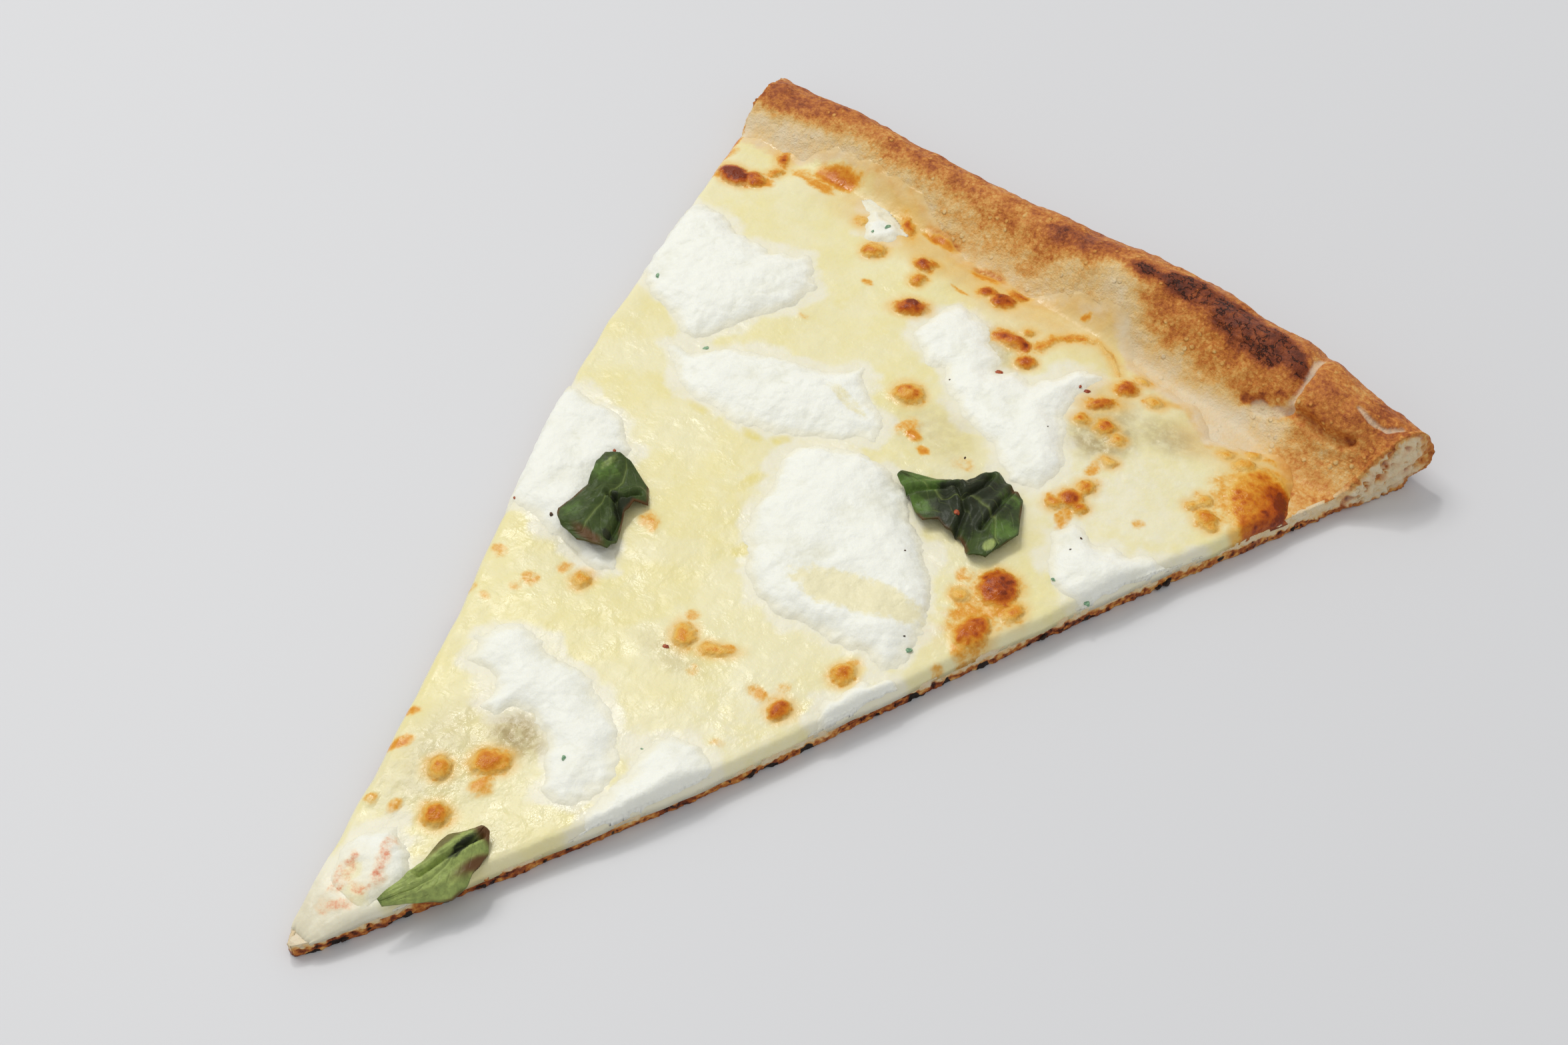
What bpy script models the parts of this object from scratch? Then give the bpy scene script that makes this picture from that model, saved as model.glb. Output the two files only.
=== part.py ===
"""A slice of white pizza, lying flat: a thin dough base that rises into a baked rim, a layer of
melted cheese with baked blisters, spread dollops of ricotta, and three pieces of basil leaf.

Plan positions are in millimetres from the slice's tip: x runs across the slice and y along it,
from the tip to the rim. Heights are in millimetres above the surface that the slice lies on.
Meshes are in metres, with the origin under the middle of the slice, the tip towards -Y and the
rim towards +Y.
"""

import math

import bmesh
import bpy
import numpy as np
from mathutils import Vector, noise
from mathutils.bvhtree import BVHTree

MM = 0.001
MIDDLE = (2.7, 108.0)  # the middle of the slice's footprint, from the tip

# The cut sides: two straight cuts, each bowed outwards a little
TIP_Y = -1.5
TIP_RADIUS = 4.0
CUT_SLOPE = 0.395  # the tangent of half the slice's angle
LEFT_START, LEFT_BOW, LEFT_BOW_AT, LEFT_BOW_SPAN = 1.0, 6.0, 118.0, 55.0
LEFT_IN, LEFT_IN_FROM, LEFT_IN_TO = 3.6, 200.0, 211.0  # how far its end at the rim is set in
RIGHT_START, RIGHT_BOW, RIGHT_BOW_AT, RIGHT_BOW_SPAN = 3.0, 3.2, 55.0, 55.0

# The dough
BASE_AT_TIP, BASE_AT_RIM = 3.0, 4.3  # how thick the flat base is
BASE_WAVE, BASE_WAVELENGTH = 0.12, 40.0
OUTER_Y = 214.8  # the rim's outermost line
OUTER_BULGE, OUTER_BULGE_AT, OUTER_BULGE_SPAN = 2.6, 28.0, 26.0
OUTER_DROP, OUTER_DROP_FROM, OUTER_DROP_TO = 6.0, 54.0, 90.0  # how the right end falls back from it
RIM_LOW, RIM_HIGH = 13.4, 17.6  # the rim's height at the left and at its puffed right part
RIM_LEFT_DROP, RIM_LEFT_FROM, RIM_LEFT_TO = 2.8, 50.0, 84.0  # how it falls off to its left end
RIM_RIGHT_DROP, RIM_RIGHT_FROM, RIM_RIGHT_TO = 3.2, 60.0, 84.0  # and to its right end
RIM_SWELL_FROM, RIM_SWELL_TO = -16.0, 22.0  # where it goes over from low to puffed up
RIM_BACK, RIM_BACK_WIDE = 7.0, 11.0  # how far the crest is from the outermost line
RIM_BACK_LESS, RIM_BACK_FROM, RIM_BACK_TO = 5.0, 60.0, 84.0  # how much less at the right end
RIM_FRONT, RIM_FRONT_WIDE = 12.0, 15.0  # how long the slope in front of it is, also at the right end
RIM_FRONT_FROM, RIM_FRONT_TO = 52.0, 70.0  # where the slope goes over to its length at the right end
RIM_EASE = 1.7  # how softly that slope starts
RIM_EQUATOR, RIM_TUCK = 5.6, 0.4  # how high the outermost line is, and how much lower the under side
RIM_LIFT, RIM_LIFT_FROM, RIM_LIFT_TO = 3.0, 62.0, 84.0  # how much more the right end curls up
TEAR_X, TEAR_HALF, TEAR_DEPTH = 60.5, 1.6, 1.2  # the tear across the rim
RIM_BUMP, RIM_BUMP_SIZE = 0.55, 8.0
DOUGH_GRID = (34, 38)
FOOT_ROW, CREST_ROW = 0.58, 0.79  # the rows' shares where the rim starts and where its crest is
TIP_START = 0.25  # how far from the very tip the first row is
ROW_GROWTH = 1.1  # above 1, the rows are closer together towards the tip
BACK_TURN = 0.93 * math.pi / 2  # how far round the back of the roll the last row is

# The melted cheese
GAP = 0.3  # between each piece and what it lies on
SIDE_CROWDING = 0.7  # how much closer the grid's lines are near the cut sides
CHEESE_START = 9.0
CHEESE_GRID = (24, 34)
CUT_INSET = 0.35  # how far cheese and toppings stay behind the dough's cut sides
CHEESE_THICK, CHEESE_LIP = 1.9, 0.5  # in the middle, and at the very edge
CHEESE_ROUND = 3.2  # how far from the edge it starts to round off
CHEESE_WAVE, CHEESE_WAVELENGTH = 0.3, 17.0
CHEESE_BORDER = (  # the edge towards the rim, as (x, y)
    (-80, 189), (-70, 191), (-60, 191), (-50, 196), (-42, 198), (-30, 197), (-15, 192), (0, 191),
    (12, 194), (22, 196), (34, 193), (45, 192), (52, 187), (57, 189), (63, 191), (70, 187), (80, 175),
)
BLISTERS = (  # (x, y, radius across, radius along, height) of the larger baked blisters
    (-13.5, 176.0, 3.6, 4.0, 1.5), (0.8, 157.0, 3.6, 3.8, 1.4), (-67.0, 183.5, 4.2, 3.8, 1.4),
    (-31.5, 185.0, 2.8, 3.0, 1.2), (-19.5, 187.5, 2.4, 3.6, 1.1), (-3.0, 189.0, 2.6, 2.4, 1.3),
    (12.0, 182.0, 2.6, 2.4, 1.2), (31.2, 187.5, 2.8, 2.6, 1.4), (33.5, 178.5, 3.0, 2.6, 1.3),
    (38.5, 174.5, 2.6, 2.4, 1.1), (42.0, 157.0, 2.9, 4.2, 1.3), (62.5, 169.5, 3.2, 4.0, 1.4),
    (60.8, 186.5, 2.2, 2.0, 1.6), (67.0, 180.0, 5.0, 6.0, 1.2), (44.5, 128.0, 4.2, 4.0, 1.4),
    (47.0, 118.5, 3.6, 4.4, 1.4), (35.8, 96.5, 2.4, 2.6, 1.1), (32.3, 83.5, 2.4, 2.5, 1.3),
    (9.0, 84.5, 3.4, 2.6, 0.9), (-13.5, 82.0, 2.2, 2.0, 0.9), (3.5, 43.0, 3.0, 3.0, 1.0),
    (-2.8, 36.8, 2.2, 2.2, 1.2), (3.5, 30.0, 2.6, 2.4, 1.2),
)

DOME_FOOT, DOME_BELOW = 0.35, 0.6  # how deep a blister's widest part and its under side lie

# The dollops of ricotta: how high each stands on the cheese, its middle, and its outline
RICOTTA = {
    "ricotta_upper_left": (2.6, (-50, 158), (
        (-68, 171.5), (-61, 172.5), (-54, 170.5), (-46, 170.5), (-39, 174.5), (-35, 171.5),
        (-32, 168), (-31, 160.5), (-34, 155), (-37, 148.5), (-40, 140.5), (-43, 140.5),
        (-49, 143.5), (-56, 144.5), (-64, 148.5), (-66, 154.5), (-68, 161.5), (-70, 168.5))),
    "ricotta_middle": (2.5, (-19, 139.5), (
        (-43, 136.5), (-36, 140.5), (-33, 144.5), (-27, 147.5), (-21, 149.5), (-14, 150.5),
        (-9, 155), (-5, 153), (-3, 149.5), (5, 145.5), (5, 142.5), (1, 139.8), (-4, 137.3),
        (-9, 132.5), (-13, 130.5), (-19, 128.5), (-26, 128.5), (-34, 129.5), (-39, 131.5))),
    "ricotta_left": (2.6, (-37, 100.5), (
        (-54, 114.5), (-47, 115.5), (-41, 116.5), (-35, 114.5), (-29, 111.5), (-26, 105),
        (-24, 98), (-20, 92), (-14, 90.5), (-11, 87.5), (-13, 84.5), (-17, 83.8), (-24, 86.5),
        (-29, 86.5), (-39, 86.5), (-44, 93.5), (-49, 98.5), (-53, 106.5))),
    "ricotta_centre": (3.0, (16, 119), (
        (-7, 127.5), (-6, 132), (-3, 134.8), (1, 137), (6, 138.3), (11, 138.5), (18, 136.5),
        (23, 131.5), (29, 128.5), (34, 124.5), (37, 120.5), (39, 115.5), (41.5, 110.5),
        (42, 105.5), (40, 101.5), (31, 101.5), (25, 99.5), (18, 98.5), (13, 99.5), (7, 102.5),
        (5, 106.5), (1, 109.5), (-2, 114.5), (-3, 119.5))),
    "ricotta_upper_right": (2.6, (13, 168), (
        (-8, 181.5), (-5, 184.5), (-1, 185), (4, 182), (8.5, 177.5), (13, 175.5), (18, 177.5),
        (22, 184), (26, 185), (27.3, 181), (27, 176), (29, 170.5), (32, 166.5), (36, 162),
        (37.5, 157.5), (36, 153), (30, 151.5), (27, 153.5), (23, 155.5), (13, 158.5), (7, 162),
        (3, 165.5), (-2, 166.5), (-5, 170.5), (-8, 176.5))),
    "ricotta_right": (2.8, (54, 145), (
        (44, 146.5), (45.5, 150.5), (51, 149.5), (58, 150.5), (63, 154.5), (70, 162), (70, 152),
        (66, 146), (62, 139), (58, 136), (55, 135.5), (51, 136.5), (47, 139.5))),
    "ricotta_crescent": (2.4, (4, 58.5), (
        (-19, 60.5), (-18, 64.5), (-14, 67.5), (-9, 68.5), (-4, 66.5), (1, 67.5), (6, 65.5),
        (11, 64.5), (15, 62.5), (18, 59.5), (20, 55.5), (20.6, 51), (20, 46.5), (17, 44.5),
        (13, 44.5), (10, 48.5), (8, 51.5), (5, 53), (1, 53.5), (-2, 52.5), (-4, 50.5),
        (-7, 50.5), (-8, 54.5), (-11, 55.5), (-16, 56.5))),
    "ricotta_lower_right": (2.6, (26, 58), (
        (20.5, 64.8), (22.5, 67), (26, 68.5), (32, 68.5), (36, 66), (34, 58), (31, 51), (27, 44.5),
        (22.8, 42.5), (22.2, 48), (22.4, 54), (21.5, 59.5))),
    "ricotta_right_edge": (1.8, (40.6, 92.5), (
        (37.6, 85), (37.2, 90), (38.8, 95), (40.5, 100), (43, 102), (48, 101), (45, 94), (42, 85))),
    "ricotta_tip": (1.9, (3, 15), (
        (-4, 20.5), (0, 23.5), (4, 23), (7, 19.5), (7.8, 14), (7.8, 9), (6.5, 6.5), (4, 6),
        (1, 8), (-3, 11.5), (-6, 15.5), (-7, 18.5))),
    "ricotta_top_bit": (1.5, (-34.5, 192), (
        (-40, 194.3), (-37, 195.3), (-33, 194), (-29.5, 191.8), (-28, 189), (-30, 188.6),
        (-34, 189.8), (-37.5, 191.8))),
}
RICOTTA_LUMP, RICOTTA_LUMP_SIZE = 0.45, 5.0
RICOTTA_SUNK, RICOTTA_FLATNESS = 0.6, 2.8
ROOM_TOP = 40.0

# The pieces of basil: left and right outlines along the leaf, and how its surface is bent
LEAF_THICK = 0.55
LEAF_GRID = (6, 9)
LEAF_REACH = 2.0  # how far round itself each point of a leaf clears what lies under it
LEAF_END_ARCH = 0.6  # how much of its arch a leaf keeps at its ends
LEAF_WAVES, LEAF_PHASE, LEAF_DIP = 2.0, 1.0, 0.8  # how its sides wave up and down along it
LEAVES = {
    "basil_left": {
        "left": (
            (-29.5, 109), (-31.8, 106.5), (-31, 103), (-29.6, 99.5), (-29.4, 95), (-28.8, 90.8),
            (-26.5, 88.4)),
        "right": (
            (-26.0, 108), (-21.2, 106.6), (-19.3, 103.6), (-20.3, 100), (-18.5, 95.6), (-16, 91),
            (-18.5, 88.2)),
        "arch": 2.4, "curl": 1.6, "lift": 1.2,
    },
    "basil_right": {
        "left": (
            (13.2, 139.0), (17.0, 137.0), (21.5, 134.6), (26, 133.6), (31, 133.4), (34.8, 131.8),
            (37.6, 132.6)),
        "right": (
            (13.8, 140.6), (17.0, 144.4), (22.5, 146.2), (26.8, 152.2), (32, 150.6), (36, 145.8),
            (39, 140.8)),
        "arch": 3.0, "curl": 1.8, "lift": 1.4,
    },
    "basil_tip": {
        "left": ((10.2, 33.0), (8.6, 29.5), (8.2, 25), (8.5, 20), (8.8, 15.5), (9.4, 11.4)),
        "right": ((12.8, 32.8), (15.2, 28.6), (16.0, 24.5), (15.6, 20.4), (13.2, 16), (10.8, 12)),
        "arch": 1.4, "curl": 0.6, "lift": 1.0,
    },
}


def smoothstep(low, high, value):
    """0 below low, 1 above high, and a smooth rise between them."""
    t = np.clip((value - low) / (high - low), 0.0, 1.0)
    return t * t * (3 - 2 * t)


def hump(value, at, span):
    """A bell-shaped hump of height 1 at `at`."""
    return np.exp(-(((value - at) / span) ** 2))


def ripple(x, y, size, seed):
    """Smooth noise from about -1 to 1, with lumps of the given size."""
    return noise.noise(Vector((x / size, y / size, seed))) * 1.6


def cut_sides(y):
    """The x of the left and right cut sides at this distance from the tip."""
    left = LEFT_START - CUT_SLOPE * y - LEFT_BOW * hump(y, LEFT_BOW_AT, LEFT_BOW_SPAN)
    left += LEFT_IN * smoothstep(LEFT_IN_FROM, LEFT_IN_TO, y)
    right = RIGHT_START + CUT_SLOPE * y + RIGHT_BOW * hump(y, RIGHT_BOW_AT, RIGHT_BOW_SPAN)
    from_tip = min((y - TIP_Y) / TIP_RADIUS, 1.0)
    share = math.sqrt(max(0.0, 1 - (1 - from_tip) ** 2))
    middle, half = (left + right) / 2, (right - left) / 2 * share
    return middle - half, middle + half


def outer_line(x):
    """How far from the tip the rim's outermost line is."""
    bulge = OUTER_BULGE * hump(x, OUTER_BULGE_AT, OUTER_BULGE_SPAN)
    return OUTER_Y + bulge - OUTER_DROP * smoothstep(OUTER_DROP_FROM, OUTER_DROP_TO, x)


def swell(x):
    """0 where the rim is low and narrow, 1 where it is puffed up."""
    return smoothstep(RIM_SWELL_FROM, RIM_SWELL_TO, x)


def rim_back(x):
    """How far the rim's crest is from its outermost line."""
    less = RIM_BACK_LESS * smoothstep(RIM_BACK_FROM, RIM_BACK_TO, x)
    return RIM_BACK + (RIM_BACK_WIDE - RIM_BACK) * swell(x) - less


def rim_front(x):
    """How far the rim's foot in front is from its crest."""
    return RIM_FRONT + (RIM_FRONT_WIDE - RIM_FRONT) * smoothstep(RIM_FRONT_FROM, RIM_FRONT_TO, x)


def rim_height(x):
    """The height of the rim's crest."""
    tear = TEAR_DEPTH * hump(x, TEAR_X, TEAR_HALF)
    left_end = RIM_LEFT_DROP * smoothstep(RIM_LEFT_FROM, RIM_LEFT_TO, -x)
    right_end = RIM_RIGHT_DROP * smoothstep(RIM_RIGHT_FROM, RIM_RIGHT_TO, x)
    return RIM_LOW + (RIM_HIGH - RIM_LOW) * swell(x) - tear - left_end - right_end


def across_rim(x, y):
    """-1 at the rim's foot in front and before it, 0 at its crest and 1 at its outermost line."""
    from_crest = y - (outer_line(x) - rim_back(x))
    reach = rim_back(x) if from_crest > 0 else rim_front(x)
    return float(np.clip(from_crest / reach, -1, 1))


def base_top(x, y):
    """The height of the flat base's upper side."""
    thick = BASE_AT_TIP + (BASE_AT_RIM - BASE_AT_TIP) * smoothstep(0, 190, y)
    return thick + BASE_WAVE * ripple(x, y, BASE_WAVELENGTH, 3.1)


def equator(x):
    """The height of the rim's outermost line."""
    return RIM_EQUATOR + RIM_LIFT * smoothstep(RIM_LIFT_FROM, RIM_LIFT_TO, x)


def dough_top(x, y):
    """The height of the dough's upper side: the base, the slope up to the crest, and the roll."""
    across = across_rim(x, y)
    crest = rim_height(x) + RIM_BUMP * ripple(x, y, RIM_BUMP_SIZE, 7.7)
    if across > 0:
        return equator(x) + (crest - equator(x)) * math.sqrt(1 - across * across)
    base = base_top(x, y)
    return base + (crest - base) * math.cos(math.pi / 2 * across) ** RIM_EASE


def dough_bottom(x, y):
    """The height of the dough's under side: flat, and curved up behind the rim's middle."""
    across = max(0.0, across_rim(x, y))
    return (equator(x) - RIM_TUCK) * (1 - math.sqrt(1 - across * across))


def cheese_end(x):
    """How far from the tip the cheese's edge towards the rim is."""
    xs, ys = zip(*CHEESE_BORDER)
    return float(np.interp(x, xs, ys))


def cheese_bottom(x, y):
    """The height of the cheese's under side."""
    return dough_top(x, y) + GAP


def cheese_thickness(x, y):
    """How thick the cheese is, rounded off towards all its edges."""
    left, right = cut_sides(y)
    inside = min(x - left - CUT_INSET, right - CUT_INSET - x, cheese_end(x) - y, (y - CHEESE_START) / 2)
    from_edge = float(np.clip(1 - inside / CHEESE_ROUND, 0, 1))
    body = CHEESE_THICK + CHEESE_WAVE * ripple(x, y, CHEESE_WAVELENGTH, 11.3)
    return CHEESE_LIP + (body - CHEESE_LIP) * math.sqrt(max(0.0, 1 - from_edge**2))


def in_frame(x, y, z):
    """A plan position and height as a point of the frame, in metres."""
    return Vector((x - MIDDLE[0], y - MIDDLE[1], z)) * MM


def new_object(name, mesh, material):
    """Puts a mesh into the slice's collection as one named, smooth-shaded piece."""
    if material:
        mesh.materials.append(material)
    mesh.shade_smooth()
    piece = bpy.data.objects.new(name, mesh)
    pieces.objects.link(piece)
    return piece


def slab(name, columns, rows, plan, top, bottom, material):
    """A solid between two surfaces: a grid, extruded, whose two sides are then put in place.

    plan(u, v) gives the plan position of a grid point, with u and v from 0 to 1.
    """
    bm = bmesh.new()
    bmesh.ops.create_grid(bm, x_segments=columns, y_segments=rows, size=0.5)
    under = {vert for vert in bm.verts}
    made = bmesh.ops.extrude_face_region(bm, geom=bm.faces[:])
    raised = {item for item in made["geom"] if isinstance(item, bmesh.types.BMVert)}
    for vert in under | raised:
        x, y = plan(vert.co.x + 0.5, vert.co.y + 0.5)
        vert.co = in_frame(x, y, (top if vert in raised else bottom)(x, y))
    bmesh.ops.recalc_face_normals(bm, faces=bm.faces[:])
    mesh = bpy.data.meshes.new(name)
    bm.to_mesh(mesh)
    bm.free()
    return new_object(name, mesh, material)


def across_the_cut(u, y, inset=0.0):
    """The x that lies the share u of the way between the cut sides, closer together near them."""
    left, right = cut_sides(y)
    share = u + (0.5 - 0.5 * math.cos(math.pi * u) - u) * SIDE_CROWDING
    return left + inset + (right - left - 2 * inset) * share


def dough_plan(u, v):
    """Plan positions over the dough: even rows to the rim's foot, then closer ones over the roll."""
    foot_x = across_the_cut(u, OUTER_Y - RIM_BACK - RIM_FRONT)
    crest = outer_line(foot_x) - rim_back(foot_x)
    foot, first = crest - rim_front(foot_x), TIP_Y + TIP_START
    if v <= FOOT_ROW:
        y = first + (foot - first) * (v / FOOT_ROW) ** ROW_GROWTH
    elif v <= CREST_ROW:
        y = foot + (crest - foot) * (v - FOOT_ROW) / (CREST_ROW - FOOT_ROW)
    else:
        turn = BACK_TURN * (v - CREST_ROW) / (1 - CREST_ROW)
        y = crest + rim_back(foot_x) * math.sin(turn)
    return across_the_cut(u, y), y


def make_dough(material):
    """The base and the rim, as one piece of dough."""
    piece = slab("dough", *DOUGH_GRID, dough_plan, dough_top, dough_bottom, material)
    bm = bmesh.new()
    bm.from_mesh(piece.data)
    flat = [face for face in bm.faces if max(vert.co.z for vert in face.verts) < 1e-6]
    inner = {edge for face in flat for edge in face.edges if all(f in flat for f in edge.link_faces)}
    bmesh.ops.dissolve_limit(
        bm, angle_limit=math.radians(1), edges=list(inner),
        verts=[vert for vert in bm.verts if all(face in flat for face in vert.link_faces)],
    )
    bmesh.ops.triangulate(bm, faces=bm.faces[:])
    bm.to_mesh(piece.data)
    bm.free()
    return piece


def cheese_plan(u, v):
    """Plan positions over the cheese, from near the tip to its edge towards the rim."""
    end = cheese_end(across_the_cut(u, 189.0, CUT_INSET))
    y = CHEESE_START + (end - 0.3 - CHEESE_START) * v
    return across_the_cut(u, y, CUT_INSET), y


def cheese_top(x, y):
    """The height of the cheese's upper side, without its blisters."""
    return cheese_bottom(x, y) + cheese_thickness(x, y)


def blister_domes(grown):
    """A collection of the blisters as closed domes, each made larger by `grown` all round."""
    domes = bpy.data.collections.new("blister domes")
    bpy.context.scene.collection.children.link(domes)
    for x, y, across, along, height in BLISTERS:
        bm = bmesh.new()
        bmesh.ops.create_uvsphere(bm, u_segments=10, v_segments=6, radius=1.0)
        foot = cheese_top(x, y) - DOME_FOOT
        for vert in bm.verts:
            rise = height + DOME_FOOT + grown if vert.co.z > 0 else DOME_BELOW
            plan = (x + vert.co.x * (across + grown), y + vert.co.y * (along + grown))
            vert.co = in_frame(*plan, foot + vert.co.z * rise)
        mesh = bpy.data.meshes.new("dome")
        bm.to_mesh(mesh)
        bm.free()
        domes.objects.link(bpy.data.objects.new("dome", mesh))
    return domes


def combine(piece, operation, others):
    """Applies a Boolean of the piece with all of a collection's objects, and removes those."""
    boolean = piece.modifiers.new(operation.lower(), "BOOLEAN")
    boolean.operation, boolean.operand_type, boolean.collection = operation, "COLLECTION", others
    apply_modifiers(piece)
    for other in list(others.objects):
        bpy.data.objects.remove(other)
    bpy.data.collections.remove(others)


def make_cheese(material):
    """The melted layer, with its larger baked blisters fused to it."""
    cheese = slab("cheese", *CHEESE_GRID, cheese_plan, cheese_top, cheese_bottom, material)
    combine(cheese, "UNION", blister_domes(0.0))
    return cheese


def make_room():
    """The space over the cheese and between the cuts, which the dollops are trimmed to."""
    def floor(x, y):
        return cheese_top(x, y) + GAP

    room = slab("room over the cheese", *CHEESE_GRID, cheese_plan, lambda x, y: ROOM_TOP, floor, None)
    combine(room, "DIFFERENCE", blister_domes(GAP))
    pieces.objects.unlink(room)
    guides.objects.link(room)
    room.hide_render, room.display_type = True, "WIRE"
    return room


def apply_modifiers(piece):
    """Makes the piece's evaluated mesh its own mesh."""
    graph = bpy.context.evaluated_depsgraph_get()
    piece.data = bpy.data.meshes.new_from_object(piece.evaluated_get(graph))
    piece.modifiers.clear()


def surface_under(supports, reach):
    """A function that gives the greatest height of these pieces within reach of a plan position."""
    trees = [BVHTree.FromObject(piece, bpy.context.evaluated_depsgraph_get()) for piece in supports]
    ring = [(0.0, 0.0)]
    ring += [(reach * math.cos(turn), reach * math.sin(turn)) for turn in np.linspace(0, 2 * math.pi, 9)]

    def height(x, y):
        starts = [in_frame(x + dx, y + dy, ROOM_TOP) for dx, dy in ring]
        hits = [tree.ray_cast(start, Vector((0, 0, -1)))[0] for tree in trees for start in starts]
        return max([hit.z / MM for hit in hits if hit], default=cheese_top(x, y))

    return height


def along_outline(points, turn, centre):
    """How far the outline is from its middle in this direction, smoothed between its points."""
    angles = [math.atan2(y - centre[1], x - centre[0]) for x, y in points]
    reach = [math.hypot(x - centre[0], y - centre[1]) for x, y in points]
    order = sorted(range(len(points)), key=angles.__getitem__)
    xs = [angles[i] for i in order]
    ys = [reach[i] for i in order]
    return float(np.interp(turn, xs, ys, period=2 * math.pi))


def make_ricotta(name, height, centre, outline, room, material):
    """One dollop: a flattened ball spread to its outline, trimmed to the cheese and the cuts."""
    bm = bmesh.new()
    segments = int(np.clip(len(outline) + 2, 14, 26))
    bmesh.ops.create_uvsphere(bm, u_segments=segments, v_segments=10, radius=1.0)
    for vert in bm.verts:
        turn = math.atan2(vert.co.y, vert.co.x)
        share = min(1.0, math.hypot(vert.co.x, vert.co.y))
        reach = along_outline(outline, turn, centre) * share
        x, y = centre[0] + reach * math.cos(turn), centre[1] + reach * math.sin(turn)
        z = cheese_top(x, y) - RICOTTA_SUNK
        if vert.co.z > -1e-6:
            lumps = RICOTTA_LUMP * ripple(x, y, RICOTTA_LUMP_SIZE, 23.9)
            z += (height + lumps + RICOTTA_SUNK) * max(0.0, 1 - share**RICOTTA_FLATNESS) ** 0.5
        vert.co = in_frame(x, y, z if vert.co.z > -1e-6 else z - RICOTTA_SUNK)
    bmesh.ops.recalc_face_normals(bm, faces=bm.faces[:])
    bmesh.ops.triangulate(bm, faces=bm.faces[:])
    mesh = bpy.data.meshes.new(name)
    bm.to_mesh(mesh)
    bm.free()
    dollop = new_object(name, mesh, material)
    trim = dollop.modifiers.new("trim", "BOOLEAN")
    trim.operation, trim.object = "INTERSECT", room
    return dollop


def on_line(points, share):
    """The point this share of the way along a line through the points."""
    at = np.linspace(0, 1, len(points))
    return tuple(float(np.interp(share, at, [point[axis] for point in points])) for axis in (0, 1))


def make_leaf(name, shape, under, material):
    """A torn piece of leaf: a thin sheet, arched along its middle and curled at its sides."""
    bm = bmesh.new()
    bmesh.ops.create_grid(bm, x_segments=LEAF_GRID[0], y_segments=LEAF_GRID[1], size=0.5)
    for vert in bm.verts:
        u, v = vert.co.x + 0.5, vert.co.y + 0.5
        left, right = on_line(shape["left"], v), on_line(shape["right"], v)
        x, y = (left[0] + (right[0] - left[0]) * u, left[1] + (right[1] - left[1]) * u)
        crown = LEAF_END_ARCH + (1 - LEAF_END_ARCH) * math.sin(math.pi * v)
        arch = shape["arch"] * (1 - (2 * u - 1) ** 2) * crown
        curl = shape["curl"] * math.cos(2 * math.pi * LEAF_WAVES * v + LEAF_PHASE) * (2 * u - 1) ** 2
        z = under(x, y) + GAP + shape["lift"] + arch + max(-LEAF_DIP, curl)
        vert.co = in_frame(x, y, z)
    bmesh.ops.triangulate(bm, faces=bm.faces[:])
    mesh = bpy.data.meshes.new(name)
    bm.to_mesh(mesh)
    bm.free()
    leaf = new_object(name, mesh, material)
    sheet = leaf.modifiers.new("thickness", "SOLIDIFY")
    sheet.thickness, sheet.offset = LEAF_THICK * MM, 1.0
    return leaf


def finish(name, colour, roughness):
    """A plain material of this colour."""
    material = bpy.data.materials.new(name)
    material.use_nodes = True
    shader = material.node_tree.nodes["Principled BSDF"]
    shader.inputs["Base Color"].default_value = (*colour, 1.0)
    shader.inputs["Roughness"].default_value = roughness
    shader.inputs["Metallic"].default_value = 0.0
    return material


for leftover in list(bpy.data.objects):
    bpy.data.objects.remove(leftover)
pieces = bpy.data.collections.new("white pizza slice")
bpy.context.scene.collection.children.link(pieces)
guides = bpy.data.collections.new("guides")
bpy.context.scene.collection.children.link(guides)

dough = make_dough(finish("baked dough", (0.60, 0.33, 0.14), 0.7))
cheese = make_cheese(finish("melted cheese", (0.80, 0.75, 0.47), 0.35))
ricotta_finish = finish("ricotta", (0.86, 0.86, 0.79), 0.6)
basil_finish = finish("basil", (0.05, 0.12, 0.03), 0.5)

room = make_room()
dollops = [
    make_ricotta(name, height, centre, outline, room, ricotta_finish)
    for name, (height, centre, outline) in RICOTTA.items()
]
resting = surface_under([dough, cheese, *dollops], LEAF_REACH)
for leaf_name, leaf_shape in LEAVES.items():
    make_leaf(leaf_name, leaf_shape, resting, basil_finish)
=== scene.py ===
"""The looks of a slice of white pizza: a blistered, unevenly baked rim on a thin base, melted cheese
with browned blisters, spread dollops of ricotta, wilted basil, and flecks of herb and pepper.

Plan positions are in millimetres from the slice's tip, x across the slice and y along it, and
heights are in millimetres above the surface that the slice lies on.
"""

import logging
import math
import random
from dataclasses import dataclass
from enum import Enum
from typing import Callable, Iterable, Sequence

import bpy
import numpy as np
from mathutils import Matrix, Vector, noise
from mathutils.bvhtree import BVHTree


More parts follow.
